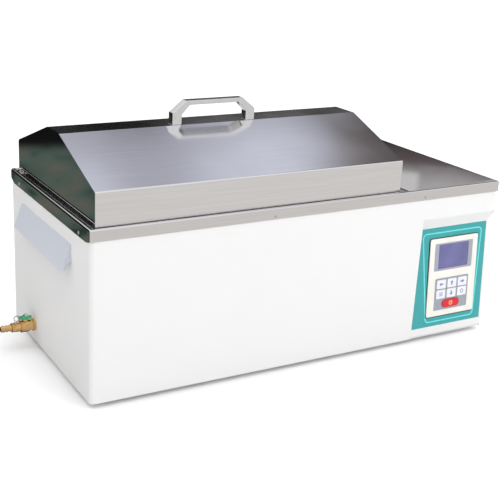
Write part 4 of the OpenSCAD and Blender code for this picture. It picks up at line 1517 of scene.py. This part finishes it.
@dataclass
class Surroundings:
    """White for the eye, soft white for matt surfaces, and a room of light and dark for polished ones."""

    black: Colour = (0.007, 0.007, 0.0075)
    azimuth: bpy.types.NodeSocket | None = None
    elevation: bpy.types.NodeSocket | None = None
    mottle: bpy.types.NodeSocket | None = None

    def build(self) -> None:
        """Put the room behind a switch on the kind of ray."""
        world = bpy.data.worlds.new("studio")
        bpy.context.scene.world = world
        world.use_nodes = True
        sheet = NodeSheet(world.node_tree)
        self.bearings(sheet)
        right = sheet.mix(
            sheet.span(self.elevation, 24.0, 36.0), self.right_low(sheet), self.right_high(sheet)
        )
        back = sheet.mix(sheet.span(self.azimuth, 24.0, 31.0), self.left_back(sheet), right)
        parts = sheet.tree.nodes.new("ShaderNodeSeparateXYZ")
        sheet.join(sheet.tree.nodes["direction"].outputs["Generated"], parts.inputs[0])
        polished = sheet.mix(sheet.span(parts.outputs["Y"], -0.12, 0.1), self.front(sheet), back)
        rays = sheet.tree.nodes.new("ShaderNodeLightPath")
        dome = self.by_elevation(
            sheet, [(0, self.grey(0.6)), (30, self.grey(0.7)), (60, self.grey(1.55)), (90, self.grey(2.1))]
        )
        matt = sheet.mix(rays.outputs["Is Diffuse Ray"], (1.0, 1.0, 1.0), dome)
        ground = sheet.tree.nodes.new("ShaderNodeBackground")
        sheet.join(sheet.mix(rays.outputs["Is Glossy Ray"], matt, polished), ground.inputs["Color"])
        output = sheet.tree.nodes.new("ShaderNodeOutputWorld")
        sheet.join(ground.outputs[0], output.inputs["Surface"])

    def grey(self, value: float) -> Colour:
        """Neutral light of one strength."""
        return (value, value, value * 1.01)

    def bearings(self, sheet: NodeSheet) -> None:
        """Azimuth in degrees from straight back towards the right, elevation in degrees, and a mottle."""
        direction = sheet.tree.nodes.new("ShaderNodeTexCoord")
        direction.name = "direction"
        parts = sheet.tree.nodes.new("ShaderNodeSeparateXYZ")
        sheet.join(direction.outputs["Generated"], parts.inputs[0])
        degree = 180 / math.pi
        self.azimuth = sheet.math(
            "MULTIPLY", sheet.math("ARCTAN2", parts.outputs["X"], parts.outputs["Y"]), degree
        )
        self.elevation = sheet.math("MULTIPLY", sheet.math("ARCSINE", parts.outputs["Z"]), degree)
        patches = sheet.tree.nodes.new("ShaderNodeTexNoise")
        patches.inputs["Scale"].default_value, patches.inputs["Detail"].default_value = 46.0, 2.0
        sheet.join(direction.outputs["Generated"], patches.inputs["Vector"])
        self.mottle = patches.outputs["Fac"]

    def by_elevation(self, sheet: NodeSheet, stops: Stops, ragged: float = 0.0) -> bpy.types.NodeSocket:
        """Colours by elevation, with an edge that the mottle can make ragged.

        Args:
            sheet: The world's node tree.
            stops: Elevations in degrees and their colours, in rising order.
            ragged: How many degrees the mottle moves the edges.

        Returns:
            The colour output.
        """
        place = self.elevation
        if ragged:
            place = sheet.math(
                "MULTIPLY_ADD", sheet.math("SUBTRACT", self.mottle, 0.5), ragged, self.elevation
            )
        share = sheet.math("MULTIPLY_ADD", place, 1 / 180, 0.5)
        return sheet.ramp(share, [(at / 180 + 0.5, colour) for at, colour in stops])

    def front(self, sheet: NodeSheet) -> bpy.types.NodeSocket:
        """The room in front: pale all over, and palest above."""
        return self.by_elevation(sheet, [
            (-60, (0.6, 0.59, 0.58)), (-12, (0.7, 0.68, 0.67)), (8, (0.62, 0.61, 0.6)),
            (30, (0.8, 0.8, 0.82)), (70, (0.95, 0.95, 1.0)),
        ])

    def left_back(self, sheet: NodeSheet) -> bpy.types.NodeSocket:
        """Back and left: a dull green floor, a black band at eye level, and light only high up."""
        green = sheet.ramp(self.mottle, [
            (0.36, (0.03, 0.045, 0.038)), (0.44, (0.07, 0.1, 0.085)), (0.54, (0.085, 0.12, 0.1)),
            (0.66, (0.13, 0.12, 0.105)),
        ])
        above = self.by_elevation(sheet, [
            (13, self.black), (19.5, (0.012, 0.012, 0.013)), (23, (0.4, 0.4, 0.41)),
            (28, (0.8, 0.81, 0.84)), (70, (0.9, 0.91, 0.94)),
        ])
        return sheet.mix(sheet.span(self.elevation, -13.9, -13.2), green, above)

    def right_low(self, sheet: NodeSheet) -> bpy.types.NodeSocket:
        """Back and right, low down: black at eye level, a brown band with a streak, then pale grey."""
        base = self.by_elevation(sheet, [
            (-14.0, (0.09, 0.11, 0.1)), (-13.2, self.black), (12.0, self.black),
            (12.5, (0.062, 0.055, 0.056)), (13.3, (0.11, 0.085, 0.09)),
            (13.55, (0.08, 0.062, 0.067)), (13.95, (0.07, 0.053, 0.058)), (14.12, (0.42, 0.41, 0.42)),
            (24, (0.42, 0.42, 0.44)),
        ], 0.4)
        offset = sheet.math("ABSOLUTE", sheet.math("SUBTRACT", self.elevation, 13.72))
        streak = sheet.math("SUBTRACT", 1.0, sheet.span(offset, 0.05, 0.17))
        reach = sheet.math(
            "MULTIPLY", sheet.span(self.azimuth, 40.6, 41.4),
            sheet.math("SUBTRACT", 1.0, sheet.span(self.azimuth, 46.0, 50.0))
        )
        base = sheet.mix(
            sheet.math("MULTIPLY", sheet.math("MULTIPLY", streak, reach), 0.75), base, (0.27, 0.26, 0.27)
        )
        pane = sheet.math(
            "MULTIPLY", sheet.span(self.elevation, 14.0, 14.1),
            sheet.math("SUBTRACT", 1.0, sheet.span(self.azimuth, 40.6, 41.1))
        )
        return sheet.mix(pane, base, (0.6, 0.59, 0.61))

    def right_high(self, sheet: NodeSheet) -> bpy.types.NodeSocket:
        """Back and right, high up: a window of soft light between duller walls."""
        slanted = sheet.math("MULTIPLY_ADD", sheet.math("SUBTRACT", self.elevation, 45.0), -1.5, self.azimuth)
        share = sheet.math("MULTIPLY", slanted, 1 / 180)
        greys = [
            (26, 0.61), (29, 0.45), (32, 0.35), (35.4, 0.4), (38.2, 0.5), (41, 0.6), (44, 0.645),
            (47, 0.68), (49.4, 0.63), (52, 0.54),
            (54.2, 0.38),
        ]
        stops = [(at / 180, (grey * 0.97, grey * 0.99, grey * 1.16)) for at, grey in greys]
        stops += [(at / 180, colour) for at, colour in (
            (55.6, (0.2, 0.17, 0.16)), (57, (0.13, 0.108, 0.102)), (59.4, (0.064, 0.058, 0.056)),
            (75, (0.075, 0.07, 0.07)),
            (100, (0.4, 0.4, 0.41)),
        )]
        window = sheet.ramp(share, stops)
        level = sheet.math("MULTIPLY_ADD", self.azimuth, 0.469, self.elevation)
        fall = sheet.ramp(sheet.math("MULTIPLY", level, 1 / 180), [
            (at / 180, (dim, dim, dim))
            for at, dim in ((63, 0.56), (64.2, 0.7), (65.5, 1.0), (67, 1.14), (72, 1.1))
        ])
        return sheet.mix(
            sheet.span(self.elevation, 58.0, 72.0), sheet.mix(1.0, window, fall, "MULTIPLY"),
            (0.9, 0.9, 0.94)
        )


@dataclass
class Studio:
    """Floor, soft light, surroundings and camera."""

    eye: Vector = field(default_factory=lambda: Vector((-0.88895, -1.4865, 0.756)))
    azimuth: float = -28.49
    elevation: float = 19.02
    roll: float = 2.26
    focal: float = 71.46
    shift: Flat = (0.0908, -0.009)

    def build(self) -> None:
        """Set the whole studio up."""
        bpy.context.scene.view_settings.view_transform = "Standard"
        self.floor()
        Surroundings().build()
        self.lamps()
        self.camera()

    def floor(self) -> None:
        """Plain pale floor, a flat sheet whose rim is far outside the view."""
        bm = bmesh.new()
        bmesh.ops.create_grid(bm, x_segments=8, y_segments=8, size=30.0)
        for vertex in bm.verts:
            vertex.co.z = -0.0003
        floor = Bench.finish(bm, "floor")
        graph = Graph("pale_floor")
        soft = graph.noise(3.0, (1.0, 1.0, 1.0), 2.0)
        graph.join(
            graph.ramp(soft, [(0.3, (0.93, 0.93, 0.93)), (0.7, (0.95, 0.95, 0.95))]),
            graph.shader.inputs["Base Color"]
        )
        graph.set(Roughness=0.9, Specular_IOR_Level=0.1)
        floor.data.materials.append(graph.material)
        floor.visible_glossy = False

    def lamps(self) -> None:
        """A large key light to the front right, and a broad fill overhead."""
        aim = (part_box("outer_casing")[0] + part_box("outer_casing")[1]) / 2
        for name, place, size, power in (
            ("key_light", Vector((1.3, -2.2, 1.9)), 1.6, 18.0),
            ("overhead_light", Vector((0.2, 0.3, 2.6)), 2.2, 10.0),
        ):
            data = bpy.data.lights.new(name, "AREA")
            data.shape, data.size, data.energy = "SQUARE", size, power
            lamp = bpy.data.objects.new(name, data)
            lamp.location = place
            lamp.rotation_euler = (aim - place).to_track_quat("-Z", "Y").to_euler()
            lamp.visible_glossy = False
            bpy.context.scene.collection.objects.link(lamp)

    def camera(self) -> None:
        """Camera at the viewing angle, with a small shift and no depth of field."""
        data = bpy.data.cameras.new("camera")
        data.lens, data.sensor_width = self.focal, 36.0
        data.shift_x, data.shift_y = self.shift
        data.clip_start, data.clip_end = 0.05, 60.0
        camera = bpy.data.objects.new("camera", data)
        bpy.context.scene.collection.objects.link(camera)
        az, el, roll = (math.radians(a) for a in (self.azimuth, self.elevation, self.roll))
        ahead = Vector((-math.sin(az) * math.cos(el), math.cos(az) * math.cos(el), -math.sin(el)))
        side = ahead.cross(Vector((0, 0, 1))).normalized()
        up = side.cross(ahead)
        right = side * math.cos(roll) + up * math.sin(roll)
        top = up * math.cos(roll) - side * math.sin(roll)
        made = Matrix.Identity(4)
        for column, axis in enumerate((right, top, -ahead)):
            for row in range(3):
                made[row][column] = axis[row]
        made.translation = self.eye
        camera.matrix_world = made
        bpy.context.scene.camera = camera


# ---------------------------------------------------------------- whole


def main() -> None:
    """Build every sub-assembly in order and report it."""
    logging.basicConfig(level=logging.INFO, format="%(name)s: %(message)s")
    for assembly in (
        Casing(), DeckPlate(), GabledLid(), ControlPanel(), DrainValve(), TankFittings(), Electrics(),
        Studio(),
    ):
        assembly.build()
        log.info("built %s", type(assembly).__name__)


if __name__ == "__main__":
    main()
